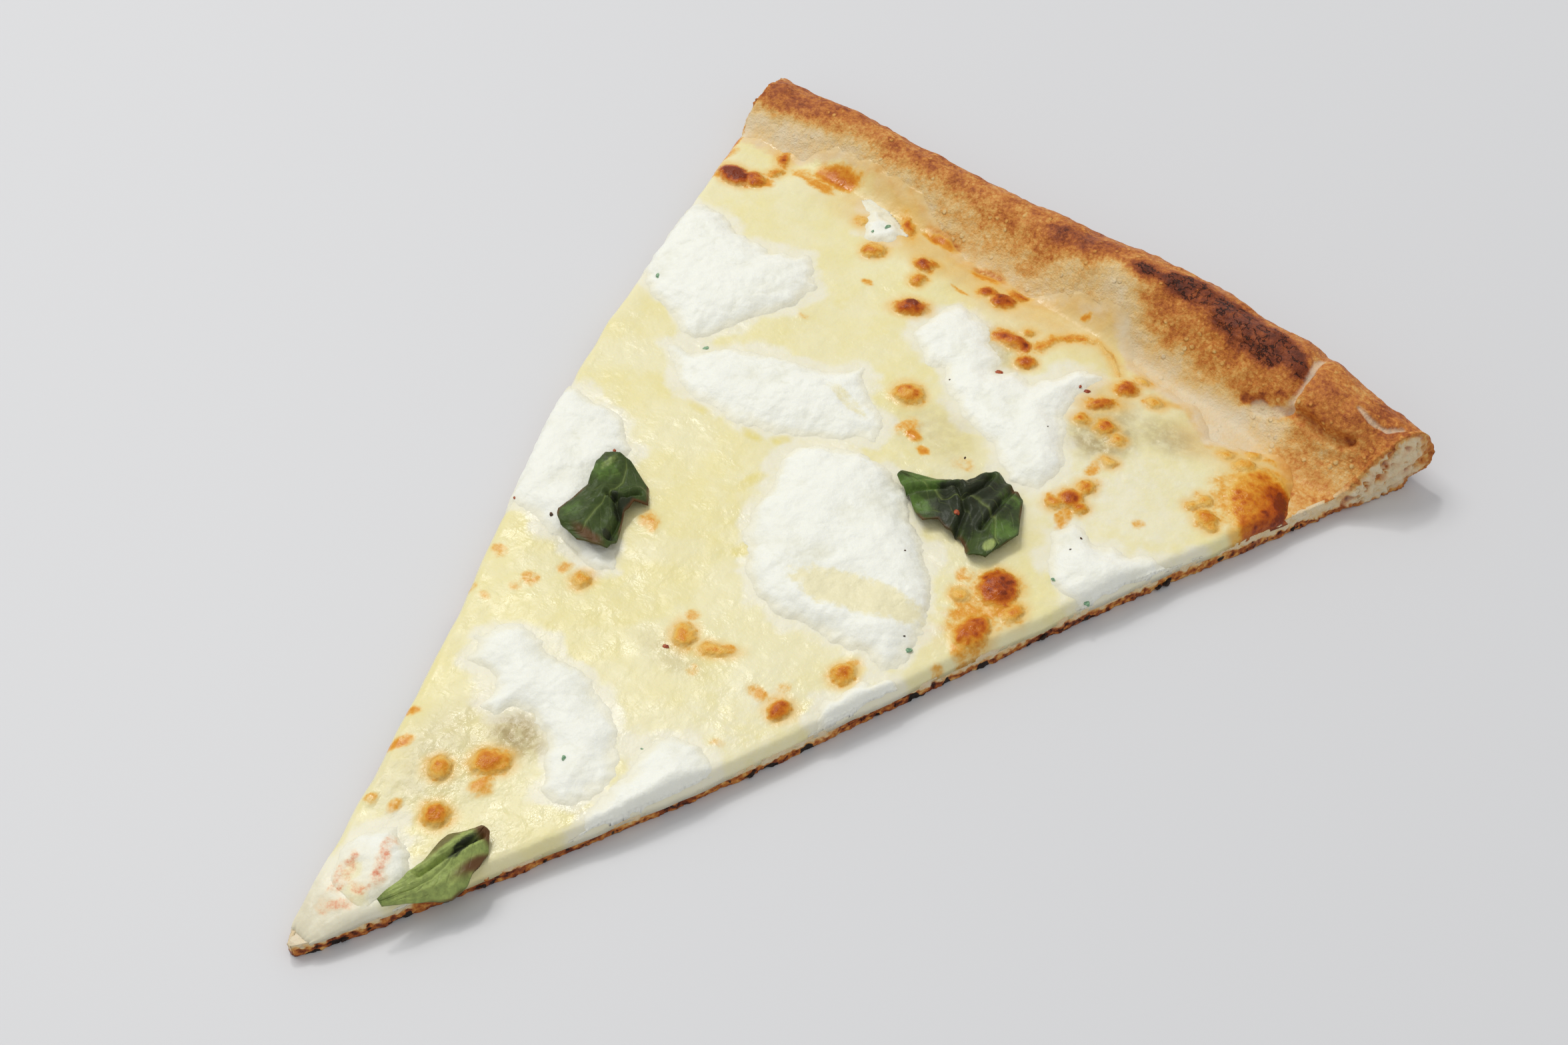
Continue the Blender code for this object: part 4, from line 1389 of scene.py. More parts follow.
@dataclass
class Cheese:
    """The melted layer, with its blisters, its pale and oily areas and its edge over the cuts."""

    dough: Dough
    columns: int = 300
    rows: int = 310
    kept_faces: float = 0.53
    blisters: tuple[Spot, ...] = spots(
        (-67.8, 183.6, 4, 2.7, 1, 1.1, -8), (-63.8, 185.2, 2.8, 2.2, 0.8, 0.8),
        (-64.4, 195.4, 3, 1.3, 0.84, 0.4, 122), (-62, 190, 1.1, 2, 0.7, 0.4),
        (-13.5, 176, 3.4, 2.3, 0.9, 1.2, 34), (1.5, 156.6, 3, 2.9, 0.62, 1),
        (-5.1, 190.4, 1.7, 1.8, 0.84, 0.7), (-1.1, 190.4, 2.5, 2.4, 0.92, 1.1),
        (-0.3, 194.2, 1.9, 1.7, 0.82, 0.8), (-19.1, 187.4, 2.2, 1.7, 0.86, 0.9, -20),
        (-17.3, 183.2, 1.4, 1.5, 0.72, 0.6), (-18.1, 189.2, 1.2, 1, 0.7, 0.4),
        (-29.9, 184.2, 2.5, 2.4, 0.6, 1), (-29.6, 195.4, 3, 1.1, 0.8, 0.5, -46),
        (-37.7, 190, 1.2, 1.1, 0.45, 0.3), (8, 181.7, 3.4, 1.7, 0.88, 0.8, -2),
        (13.6, 178.4, 1.8, 1.8, 0.84, 0.8), (9.2, 185.5, 1.1, 1, 0.6, 0.4), (42, 159.3, 1.6, 2, 0.6, 0.6),
        (41.5, 155.3, 2.3, 2.4, 0.78, 0.9), (39.7, 152.4, 1.5, 1.5, 0.66, 0.5),
        (43.9, 154.5, 1.5, 1.5, 0.7, 0.6), (30.9, 173.2, 1.4, 1.3, 0.62, 0.7),
        (35.7, 174.3, 2, 1.9, 0.68, 0.9), (31.6, 178.8, 2.8, 1.3, 0.82, 0.8, 40),
        (39.7, 172.8, 1, 1, 0.5, 0.5), (41.6, 167.4, 1.2, 1.1, 0.45, 0.5),
        (32.6, 185.9, 2.2, 2.7, 0.82, 1.1), (38.7, 186.6, 1.6, 1.4, 0.36, 0.6),
        (33.4, 190.2, 1.1, 1, 0.5, 0.3), (60.6, 171.1, 1.6, 1.5, 0.5, 0.6),
        (63.5, 167.3, 2.2, 2.1, 0.66, 0.9), (59.5, 168.8, 1.2, 1.1, 0.44, 0.5),
        (65, 166.3, 1.2, 1.2, 0.5, 0.4), (61.3, 183.8, 2, 1.9, 0.54, 0.8),
        (60.4, 187.9, 1.6, 1.4, 0.48, 0.6), (57.2, 184.3, 1.3, 1.2, 0.52, 0.5),
        (44.5, 129, 4, 4.2, 0.84, 1.1, 20), (47, 118.5, 3, 4, 0.76, 1.1), (35.8, 96.5, 2, 2.4, 0.6, 0.9),
        (32.3, 83.5, 2.2, 2.2, 0.8, 1), (9, 84.5, 2.6, 1.9, 0.52, 0.7, -40),
        (15.2, 85.6, 2.6, 1.3, 0.5, 0.4, 30), (40.2, 123.6, 1.6, 1.5, 0.44, 0.5),
        (50, 126.4, 1.6, 2.2, 0.62, 0.6), (-13.5, 82, 1.5, 1.8, 0.52, 0.7),
        (2.6, 43.4, 3.4, 2.7, 0.6, 0.8, 40), (-2.8, 36.8, 2.1, 2.1, 0.5, 0.9),
        (3.5, 30, 2.4, 2.2, 0.62, 0.9), (69, 177, 9.8, 6.2, 0.6, 0.5, -58),
    )
    deeper: tuple[Spot, ...] = spots(
        (72.6, 179, 4.2, 7.5, 0.36, 0, 14), (71, 171.5, 3.5, 3, 0.16), (71, 182, 4, 3.4, 0.16),
        (62.5, 180, 3.5, 4, -0.14), (-13.5, 176.8, 3, 1.4, 0.14), (1.5, 157, 1.8, 1.8, -0.14),
        (-29.9, 185.2, 2, 1.2, -0.2), (-67.4, 183.6, 2.6, 1.8, 0.16), (45.5, 129.5, 2.4, 2.4, 0.1),
    )
    stains: tuple[Spot, ...] = spots(
        (-50.5, 197.5, 5.4, 3, 0.6, 0, 10), (-53, 193, 4.5, 1.8, 0.5), (-57, 194, 4, 2, 0.36),
        (-61.5, 186.2, 2.6, 1.6, 0.5), (-71.5, 181.6, 2.6, 1.4, 0.4), (-77, 193, 1.4, 4.5, 0.66, 0, 20),
        (-22, 196.4, 4.2, 1.3, 0.55, 0, 6), (-8.4, 194.2, 3.8, 1.2, 0.5, 0, 6), (-9, 186.5, 2.6, 0.7, 0.42),
        (-4.7, 199.9, 1.2, 1, 0.5), (15.3, 196.5, 1, 0.9, 0.6, 0.3), (7, 150, 2.6, 3, 0.36, 0.3),
        (9.5, 148.5, 1.8, 1.3, 0.5, 0.3), (13, 147, 1.4, 1.1, 0.42), (43, 151, 1.6, 4, 0.42, 0, 20),
        (40, 164, 1.4, 2.4, 0.36), (47, 127, 3.4, 3, 0.42, 0.4), (48, 115, 3, 3, 0.42, 0.3),
        (45, 123.5, 5.4, 8.6, 0.42), (5, 39, 2.2, 2.6, 0.42, 0.3), (-3, 27, 1.3, 1.3, 0.42, 0.3),
        (-15.5, 42, 2, 1.2, 0.4, 0, 60), (-12, 36, 2.6, 1.3, 0.5, 0, 60),
        (16.5, 87, 2.4, 1.5, 0.42, 0.3, 30), (7, 89, 1.5, 1.5, 0.3), (15, 80, 1.5, 1.5, 0.26),
        (27, 83.5, 2.4, 1.6, 0.36), (30, 87, 1.5, 1.5, 0.3), (47.5, 108, 1.6, 1.4, 0.3),
        (-14, 100, 3, 2, 0.34, 0.2, -30), (-18, 82, 1.6, 1.6, 0.34), (-21, 76, 2, 1.6, 0.34),
        (-22, 73, 1.5, 1.2, 0.26), (-30, 77, 2, 1.4, 0.34), (-24.5, 68, 1.5, 1.2, 0.26),
        (-28, 68, 1.3, 1.3, 0.3), (21, 149, 2.6, 2, 0.26), (38, 128, 2, 2, 0.34), (-28, 160, 1.5, 1, 0.26),
        (-25, 176, 1.6, 1, 0.34), (-7, 25, 1.3, 1.3, 0.36, 0.3), (29, 71, 1.5, 1, 0.26),
        (-75, 187, 2, 5, 0.45), (68, 177, 9, 8, 0.46, 0.2, 20), (54.5, 158.4, 1.4, 1.2, 0.32),
        (43, 118, 6, 12, 0.12), (64, 188.4, 2, 1.2, 0.4, 0.3), (67.4, 186.4, 1.6, 1, 0.4, 0.3),
    )
    brown_lines: tuple[tuple[Line, float, float], ...] = (
        (((13.0, 183.0), (14.1, 187.2), (16.3, 190.9), (18.5, 192.0)), 0.8, 0.72),
        (((4.9, 181.5), (8.3, 181.9), (11.0, 181.5)), 1.5, 0.88),
        (((18.5, 192.2), (21.1, 193.3), (25.4, 191.7), (28.8, 188.5)), 0.3, 0.3),
    )
    gold_lines: tuple[Line, ...] = (
        ((39.8, 187.7), (43.8, 190.3), (48.6, 187.4), (52.0, 186.1), (53.0, 184.2)),
        ((72.4, 183.8), (74.9, 179.2), (74.3, 174.4), (72.0, 169.8), (68.9, 167.9)),
    )
    milky: tuple[Spot, ...] = spots(
        (46, 160, 22, 22, 0.75), (30, 75, 14, 22, 0.6), (-5, 30, 12, 18, 0.5), (-60, 180, 18, 9, 0.35),
        (16, 126, 34, 28, 0.55), (-45, 130, 10, 10, 0.4), (10, 170, 22, 16, 0.5), (-20, 172, 12, 10, 0.4),
        (50, 100, 14, 30, 0.4),
    )
    oiled: tuple[Spot, ...] = spots(
        (-14.4, 128.7, 3.4, 1.6, 0.7), (-9.4, 131.4, 2.8, 1.6, 0.7, 0, 50), (-26.6, 127.3, 5, 1.4, 0.6),
        (3.4, 106.2, 2.2, 2.6, 0.7), (-6.5, 119.5, 1.8, 5.4, 0.6, 0, -10), (-25, 168, 3, 3, 0.45),
        (-40, 178, 6, 2, 0.3), (26, 109, 9, 4, 0.5, 0, 24), (4, 72, 8, 2.5, 0.3), (8, 40, 3, 5, 0.3),
    )
    glassy: tuple[Spot, ...] = spots(
        (36.5, 172.5, 6, 6, 1), (34, 179, 6, 4, 0.6), (6, 178, 7, 5, 0.5), (46, 180, 6, 4, 0.6),
        (2, 50, 5, 4, 0.9), (12, 152, 8, 6, 0.3), (10, 80, 7, 3, 0.3), (-4, 40, 8, 12, 0.3),
    )
    beaded: tuple[Spot, ...] = spots(
        (48, 170, 14, 10, 0.7), (66, 178, 12, 10, 0.9), (5, 186, 20, 9, 0.6), (44, 124, 7, 13, 0.8),
        (42, 156, 5, 8, 0.8), (36, 130, 6, 8, 0.5), (0, 36, 10, 14, 0.7), (20, 150, 14, 7, 0.4),
        (1, 153, 5, 7, 0.4), (55, 125, 5, 14, 0.6), (34, 88, 8, 10, 0.5), (16, 37, 6, 12, 0.8),
        (-55, 192, 14, 8, 0.5), (-16, 80, 12, 6, 0.3), (10, 84, 10, 6, 0.4),
    )
    golden: tuple[Spot, ...] = spots(
        (-22, 192, 22, 5, 0.6), (2, 192, 18, 6.5, 0.55), (18, 196, 10, 3.5, 0.5), (-40, 195, 8, 4, 0.45),
        (52, 184, 6, 5, 0.35), (64, 184, 10, 5, 0.45), (30, 181, 6, 5, 0.3),
    )

    def warped(self, x: Array, y: Array) -> Arrays:
        """Pushes plan positions about, so that round spots become uneven.

        Args:
            x, y: the plan positions.

        Returns:
            Their new x and y.
        """
        wx = x + 0.55 * lumps(x, y, 0.0, 3.4, 2, 1.1) + 0.25 * lumps(x, y, 0.0, 1.2, 2, 3.1)
        wy = y + 0.55 * lumps(x, y, 0.0, 3.4, 2, 2.1) + 0.25 * lumps(x, y, 0.0, 1.2, 2, 4.1)
        return wx, wy

    def edge_and_tone(self, x: Array, y: Array) -> Arrays:
        """Finds the blister that each plan position belongs to.

        Args:
            x, y: the plan positions.

        Returns:
            How far inside its nearest blister's outline each one is, in millimetres, and how dark that
            blister is, from 0 to 1.
        """
        edge, tone = np.full(len(x), -3.0), np.full(len(x), 0.5)
        for spot in self.blisters:
            inside = (1 - spot.distance(x, y)) * min(spot.across, spot.along)
            tone = np.where(inside > edge, spot.strength, tone)
            edge = np.maximum(edge, inside)
        for line, half, strength in self.brown_lines:
            inside = half - from_line(x, y, line)
            tone = np.where(inside > edge, strength, tone)
            edge = np.maximum(edge, inside)
        for spot in self.deeper:
            tone = tone + spot.strength * smoothstep(1.3, 0.3, spot.distance(x, y))
        return edge, tone

    def domes(self, x: Array, y: Array) -> Array:
        """Raises the blisters.

        Args:
            x, y: the plan positions.

        Returns:
            How high the blisters stand at each of them, in millimetres.
        """
        total = np.zeros(len(x))
        for spot in (*self.blisters, *self.stains):
            if spot.rise:
                inside = np.clip(1.15 - spot.distance(x, y) ** 2, 0, 1)
                total = np.maximum(total, spot.rise * inside)
        return total * (1 + 0.25 * lumps(x, y, 0.0, 1.7, 2, 6.6))

    def near_curd(self, x: Array, y: Array) -> Array:
        """Finds the cheese close to ricotta, which whitens it.

        Args:
            x, y: the plan positions.

        Returns:
            For each of them 1 at a dollop's edge and under it, and 0 well away from it.
        """
        total, wander = np.zeros(len(x)), 2.6 * lumps(x, y, 0.0, 6.0, 3, 7.3)
        for dollop in DOLLOPS:
            total = np.maximum(total, smoothstep(-4.2, 0.0, inside_by(x, y, dollop.outline) + wander))
        return total

    def plan(self, sheet: Sheet) -> CheesePoints:
        """Spreads a sheet from the tip to the rim, and a little over both cuts.

        Args:
            sheet: the sheet, whose u runs across the slice and v away from its tip.

        Returns:
            What is known of its points.
        """
        u, v = sheet.u, sheet.v
        share = u + (0.5 - 0.5 * np.cos(math.pi * u) - u) * 0.3
        left, right = FORM.cut_sides(np.array([189.0]))
        end_x = left + (right - left) * share
        spread = 0.6 + 5.0 * smoothstep(30.0, 18.0, end_x) + 2.0 * smoothstep(-42.0, -52.0, end_x)
        spread = spread + 0.8 * smoothstep(62.0, 67.0, end_x)
        end = FORM.cheese_end(end_x) + 1.4 * lumps(end_x, 0.0, 0.0, 6.0, 4, 3.0) + spread
        start = 0.9 + 0.4 * lumps(u * 7.0, 0.0, 0.0, 2.0, 2, 7.0)
        y = start + (end - start) * v
        left, right = FORM.cut_sides(y)
        reach_left = 0.25 + 0.35 * lumps(0.0, y, 0.0, 7.0, 2, 1.7)
        reach_right = 0.35 + 0.4 * lumps(0.0, y, 0.0, 7.0, 2, 2.7)
        x = left - reach_left + (right + reach_right - left + reach_left) * share
        inside = np.minimum(x - left + reach_left, right + reach_right - x)
        return CheesePoints(x, y, end_x, inside, np.maximum(0.0, end - y), y - start)

    def heights(self, sheet: Sheet, at: CheesePoints, domes: Array, glassy: Array) -> Array:
        """Shapes the melted layer, which thins out towards its edges and droops over the cuts.

        Args:
            sheet: the cheese's sheet.
            at: its points.
            domes: how high the blisters stand.
            glassy: where it is bubbly and clear.

        Returns:
            The height of each point.
        """
        x, y = at.x, at.y
        thinning = np.clip(at.to_rim / 11.0, 0, 1)
        power = np.interp(at.end_x, (-50, 24, 34), (1.0, 1.0, 0.6))
        fade = thinning ** power * np.sqrt(np.clip(at.from_start / 8, 0, 1))
        lip = np.sqrt(np.clip(1 - np.clip(1 - at.inside / 2.2, 0, 1) ** 2, 0, 1))
        body = FORM.cheese_thick + 0.3 * FORM.ripple(x, y, 17.0, 11.3)
        base = FORM.dough_top(x, y)
        lump = 0.14 * lumps(x, y, 0.0, 9.0, 2, 3.7) + 0.06 * lumps(x, y, 0.0, 2.6, 3, 5.2)
        pit, _ = cells(x, y, 0.0, 2.4, 6.0)
        lump += glassy * (0.3 * lumps(x, y, 0.0, 2.2, 2, 8.0) + 0.2 * smoothstep(0.6, 0.1, pit))
        high = base + (FORM.gap + body + lump) * fade * (0.35 + 0.65 * lip) + domes * np.sqrt(fade)
        droop = 0.9 * smoothstep(1.2, 0.0, at.inside) * smoothstep(9, 20, y)
        high = high - 0.4 * smoothstep(2.4, 0.0, at.to_rim)
        return np.where(sheet.depth < 0.5, high - 0.5 * droop, base - 0.5 - droop)

    def mark_melt(self, sheet: Sheet, at: CheesePoints, glassy: Array) -> None:
        """Marks the white, oily, clear and glossy areas.

        Args:
            sheet: the cheese's sheet.
            at: its points.
            glassy: where it is bubbly and clear.
        """
        x, y = at.x, at.y
        near_rim = self.near_rim(at)
        white = np.maximum(0.7 * painted(self.milky, x, y, 0.8), 0.7 * self.near_curd(x, y))
        sheet.mark("white", np.clip(white, 0, 1) * (1 - 0.8 * near_rim) + smoothstep(13.0, 5.0, y))
        beaded = np.maximum(painted(self.beaded, x, y, 0.8), 0.6 * near_rim)
        sheet.mark("wet", np.clip(np.maximum(1.2 * glassy, beaded), 0, 1))
        sheet.mark("oil", painted(self.oiled, x, y, 0.7))
        sheet.mark("streak", streaks(x, y))
        at_tip = smoothstep(13.0, 5.0, y)
        clear = 0.25 * near_rim * smoothstep(28, 36, x) + 1.1 * glassy + 0.3 * at_tip
        sheet.mark("thin", np.clip(clear, 0, 0.95))

    def near_rim(self, at: CheesePoints) -> Array:
        """Gives 1 along the cheese's edge towards the rim, and 0 well away from it, with a ragged edge."""
        return smoothstep(11.0, 1.5, at.to_rim + 2.0 * lumps(at.x, at.y, 0.0, 5.0, 3, 9.9))

    def build(self, finish: Material) -> None:
        """Builds the cheese.

        Args:
            finish: the cheese's finish.
        """
        sheet = Sheet("cheese_melt", self.columns, self.rows)
        at = self.plan(sheet)
        x, y = at.x, at.y
        wx, wy = self.warped(x, y)
        glassy = painted(self.glassy, x, y, 0.6)
        z = self.heights(sheet, at, self.domes(wx, wy), glassy)
        sheet.shape(FORM.placed(x, y, z))
        edge, tone = self.edge_and_tone(wx, wy)
        sheet.mark("edge", edge)
        sheet.mark("tone", tone)
        sheet.mark("stain", painted(self.stains, wx, wy, 0.55))
        sheet.mark("bake", self.dough.bake(x, y, z))
        sheet.mark("merge", smoothstep(6.5, 0.6, at.to_rim + 1.2 * lumps(x, y, 0.0, 3.0, 3, 4.9)))
        self.mark_melt(sheet, at, glassy)
        lines = [smoothstep(1.8, 0.3, from_line(x, y, line)) for line in self.gold_lines]
        gold = np.maximum(painted(self.golden, wx, wy, 0.7), 0.8 * np.maximum(*lines))
        gilded = self.near_rim(at) * smoothstep(-50, -41, x) * smoothstep(30, 18, x)
        sheet.mark("gold", np.clip(np.maximum(1.2 * gold, gilded), 0, 1))
        sheet.thin_out(self.kept_faces)
        sheet.dress(finish, Layer.CHEESE, ["cheese"])


GLAZED: tuple[Spot, ...] = spots(
    (27, 110.6, 12.5, 4, 1, 0, 18), (21, 107, 5, 3, 0.8), (-6, 147, 6, 1.6, 0.6, 0, -12),
    (5, 10, 3, 3, 0.7), (1.5, 13.5, 1.6, 2.2, 0.8),
)


@dataclass(frozen=True)
class Dollop:
    """One spread dollop of ricotta: its height, how far in from its edge it reaches that, and its outline."""

    name: str
    height: float
    slope: float
    outline: Line
    grid_step: float = 0.42

    def ragged(self, x: Array, y: Array) -> Array:
        """Gives how far inside the dollop's ragged edge each plan position is, in millimetres."""
        wander = 1.5 * lumps(x, y, 0.0, 6.0, 4, self.height) + 0.3 * lumps(x, y, 0.0, 1.3, 2, 4.0)
        return inside_by(x, y, self.outline) + wander

    def within(self, x: Array, y: Array) -> Array:
        """Tells which plan positions the dollop's grid keeps."""
        left, right = FORM.cut_sides(y)
        return (x > left - 0.9) & (x < right + 0.9) & (inside_by(x, y, self.outline) > -1.8)

    def build(self, finish: Material) -> Piece:
        """Builds the dollop.

        Args:
            finish: the ricotta's finish.

        Returns:
            The finished piece.
        """
        xs, ys = zip(*self.outline)
        low, high = (min(xs) - 2.0, min(ys) - 2.0), (max(xs) + 2.0, max(ys) + 2.0)
        patch = Patch(self.name + "_curd", self.grid_step, low, high, self.within)
        left, right = FORM.cut_sides(patch.y)
        edge = 0.25 + 0.35 * lumps(0.0, patch.y, 0.0, 3.0, 3, 6.6)
        x, y = np.clip(patch.x, left - edge, right + edge), patch.y
        inside = self.ragged(x, y)
        rise = np.clip(inside / self.slope, 0.0, 1.0)
        body = 1 - (1 - rise) ** 1.8
        rough = 0.4 * lumps(x, y, 0.0, 9.0, 2, 2.9) + 0.2 * lumps(x, y, 0.0, 2.8, 4, 7.9)
        rough -= 0.16 * smoothstep(0.07, 0.0, np.abs(lumps(x, y, 0.0, 8.0, 3, 5.2)))
        bed = FORM.cheese_top(x, y)
        sunk = 0.5 - 0.3 * smoothstep(-1.5, 0.0, inside)
        at_cut = smoothstep(1.2, 0.0, np.minimum(x - left + edge, right + edge - x))
        glaze = painted(GLAZED, x, y, 0.6)
        height = (self.height + sunk + rough - 0.5 * glaze) * body - sunk - 0.5 * at_cut * body
        z = np.where(patch.upper, bed + height, bed - 0.9)
        patch.shape(FORM.placed(x, y, z))
        # Painted shade: the curd is greyed where its relief is low and within about 1 mm of its edge.
        patch.mark("curd_shade", np.clip(0.3 - 0.8 * rough + 0.5 * smoothstep(1.2, 0.0, inside), 0, 1))
        patch.mark("rim", np.maximum(smoothstep(3.4, -0.2, inside), 0.9 * smoothstep(24.0, 12.0, y)))
        patch.mark("streak", streaks(x, y))
        patch.mark("glaze", glaze)
        patch.dress(finish, Layer.RICOTTA, [self.name])
        return patch


DOLLOPS: tuple[Dollop, ...] = (
    Dollop("ricotta_upper_left", 2.0, 7.0, (
        (-68, 171.5), (-61, 172.5), (-54, 170.5), (-46, 170.5), (-39, 174.5), (-35, 171.5), (-32, 168),
        (-31, 160.5), (-34, 155), (-37, 148.5), (-40, 140.5), (-43, 140.5), (-49, 143.5), (-56, 144.5),
        (-64, 148.5), (-66, 154.5), (-68, 161.5), (-70, 168.5),
    )),
    Dollop("ricotta_middle", 1.7, 7.0, (
        (-43, 136.5), (-36, 140.5), (-33, 144.5), (-27, 147.5), (-21, 149.5), (-14.6, 151.1), (-9.7, 156.7),
        (-6.5, 155), (-3.4, 150.5), (3.9, 147.3), (6, 141.8), (2.4, 141.2), (-3, 138), (-8, 133.5),
        (-13, 130.5), (-18.3, 129.5), (-24.9, 129), (-31.6, 128.5), (-39, 131.5),
    )),
    Dollop("ricotta_left", 2.0, 7.0, (
        (-54, 114.5), (-47, 115.5), (-41, 116.5), (-35, 114.5), (-29, 111.5), (-26, 105), (-24, 98),
        (-20, 92), (-14, 90.5), (-11, 87.5), (-13, 84.5), (-17, 83.8), (-24, 86.5), (-29, 86.5),
        (-39, 86.5), (-44, 93.5), (-49, 98.5), (-53, 106.5),
    )),
    Dollop("ricotta_centre", 2.4, 7.0, (
        (-7, 127.5), (-6, 132), (-3, 134.8), (1, 137), (6, 138.3), (11, 138.5), (18, 136.5), (23, 131.5),
        (29, 128.5), (34, 124.5), (37, 120.5), (39, 115.5), (41.5, 110.5), (42, 105.5), (40, 101.5),
        (31, 101.5), (25, 99.5), (18, 98.5), (13, 99.5), (7, 102.5), (5, 106.5), (1, 109.5), (-2, 114.5),
        (-3, 119.5),
    )),
    Dollop("ricotta_upper_right", 1.7, 7.0, (
        (-8.6, 170.7), (-8.5, 174.6), (-8.1, 179.7), (-6.3, 183), (-2.9, 183.5), (1.1, 181.5), (6, 178.3),
        (10.4, 173.6), (13.5, 175.6), (17.9, 174.7), (19.5, 178.1), (20.8, 182.9), (23.8, 184.5),
        (27.3, 184.7), (27.9, 178.9), (27.4, 174), (29, 170.5), (32, 166.5), (36, 162), (37.5, 157.5),
        (36, 153), (30, 151.5), (27, 153.5), (23, 155.5), (13, 158.5), (7, 162), (3, 165.5), (-2, 166.5),
        (-6, 168.5),
    )),
    Dollop("ricotta_right", 2.2, 7.0, (
        (44, 146.5), (45.5, 150.5), (51, 149.5), (58, 150.5), (63, 154.5), (70, 162), (70, 152), (66, 146),
        (62, 139), (58, 136), (55, 135.5), (51, 136.5), (47, 139.5),
    )),
    Dollop("ricotta_crescent", 1.8, 7.0, (
        (-19, 60.5), (-18, 64.5), (-14, 67.5), (-9, 68.5), (-4, 66.5), (1, 67.5), (6, 65.5), (11, 64.5),
        (15, 62.5), (18, 59.5), (20, 55.5), (20.6, 51), (20, 46.5), (17, 44.5), (13, 44.5), (10, 48.5),
        (8, 51.5), (5, 53), (1, 53.5), (-2, 52.5), (-4, 50.5), (-7, 50.5), (-8, 54.5), (-11, 55.5),
        (-16, 56.5),
    )),
    Dollop("ricotta_lower_right", 2.0, 7.0, (
        (20.5, 64.8), (22.5, 67), (26, 68.5), (32, 68.5), (36, 66), (34, 58), (31, 51), (27, 44.5),
        (22.8, 42.5), (22.2, 48), (22.4, 54), (21.5, 59.5),
    )),
    Dollop("ricotta_right_edge", 1.5, 2.5, (
        (37.6, 85), (37.2, 90), (38.8, 95), (40.5, 100), (43, 102), (48, 101), (45, 94), (42, 85),
    )),
    Dollop("ricotta_tip", 1.4, 4.0, (
        (-3.8, 15.4), (-3.2, 19), (-2.7, 23.7), (0, 25.5), (4.3, 23.7), (8.3, 19.9), (9.8, 16.5),
        (9.4, 11.2), (8.4, 8.5), (6, 7.6), (1.8, 6.8), (-0.9, 9.1), (-2.5, 12.1),
    )),
    Dollop("ricotta_top_bit", 1.0, 2.5, (
        (-41.2, 195.4), (-38.7, 196.5), (-34.3, 194.3), (-29, 191.9), (-28.4, 188.8), (-31.4, 186.8),
        (-34, 187.1), (-37.5, 191.3),
    )),
)


class Ground:
    """The heights of what the finest pieces lie on."""

    def __init__(self, names: Iterable[str]) -> None:
        """Reads the built pieces of these names."""
        graph = bpy.context.evaluated_depsgraph_get()
        self.trees = [BVHTree.FromObject(bpy.data.objects[name], graph) for name in names]

    def height(self, x: float, y: float, reach: float = 0.0) -> float:
        """Finds the height of what lies on top, in millimetres.

        Args:
            x, y: the plan position.
            reach: how far around it is looked at too.

        Returns:
            The greatest height that is found.
        """
        ring = [(0.0, 0.0)]
        if reach:
            turns = np.linspace(0, 2 * math.pi, 9)
            ring += [(reach * math.cos(turn), reach * math.sin(turn)) for turn in turns]
        best = -1.0
        for dx, dy in ring:
            start = Vector(FORM.placed(np.array([x + dx]), np.array([y + dy]), np.array([40.0]))[0])
            for tree in self.trees:
                hit = tree.ray_cast(start, Vector((0, 0, -1)))[0]
                if hit:
                    best = max(best, hit.z / MM)
        return best if best >= 0 else float(FORM.cheese_top(np.array([x]), np.array([y]))[0])


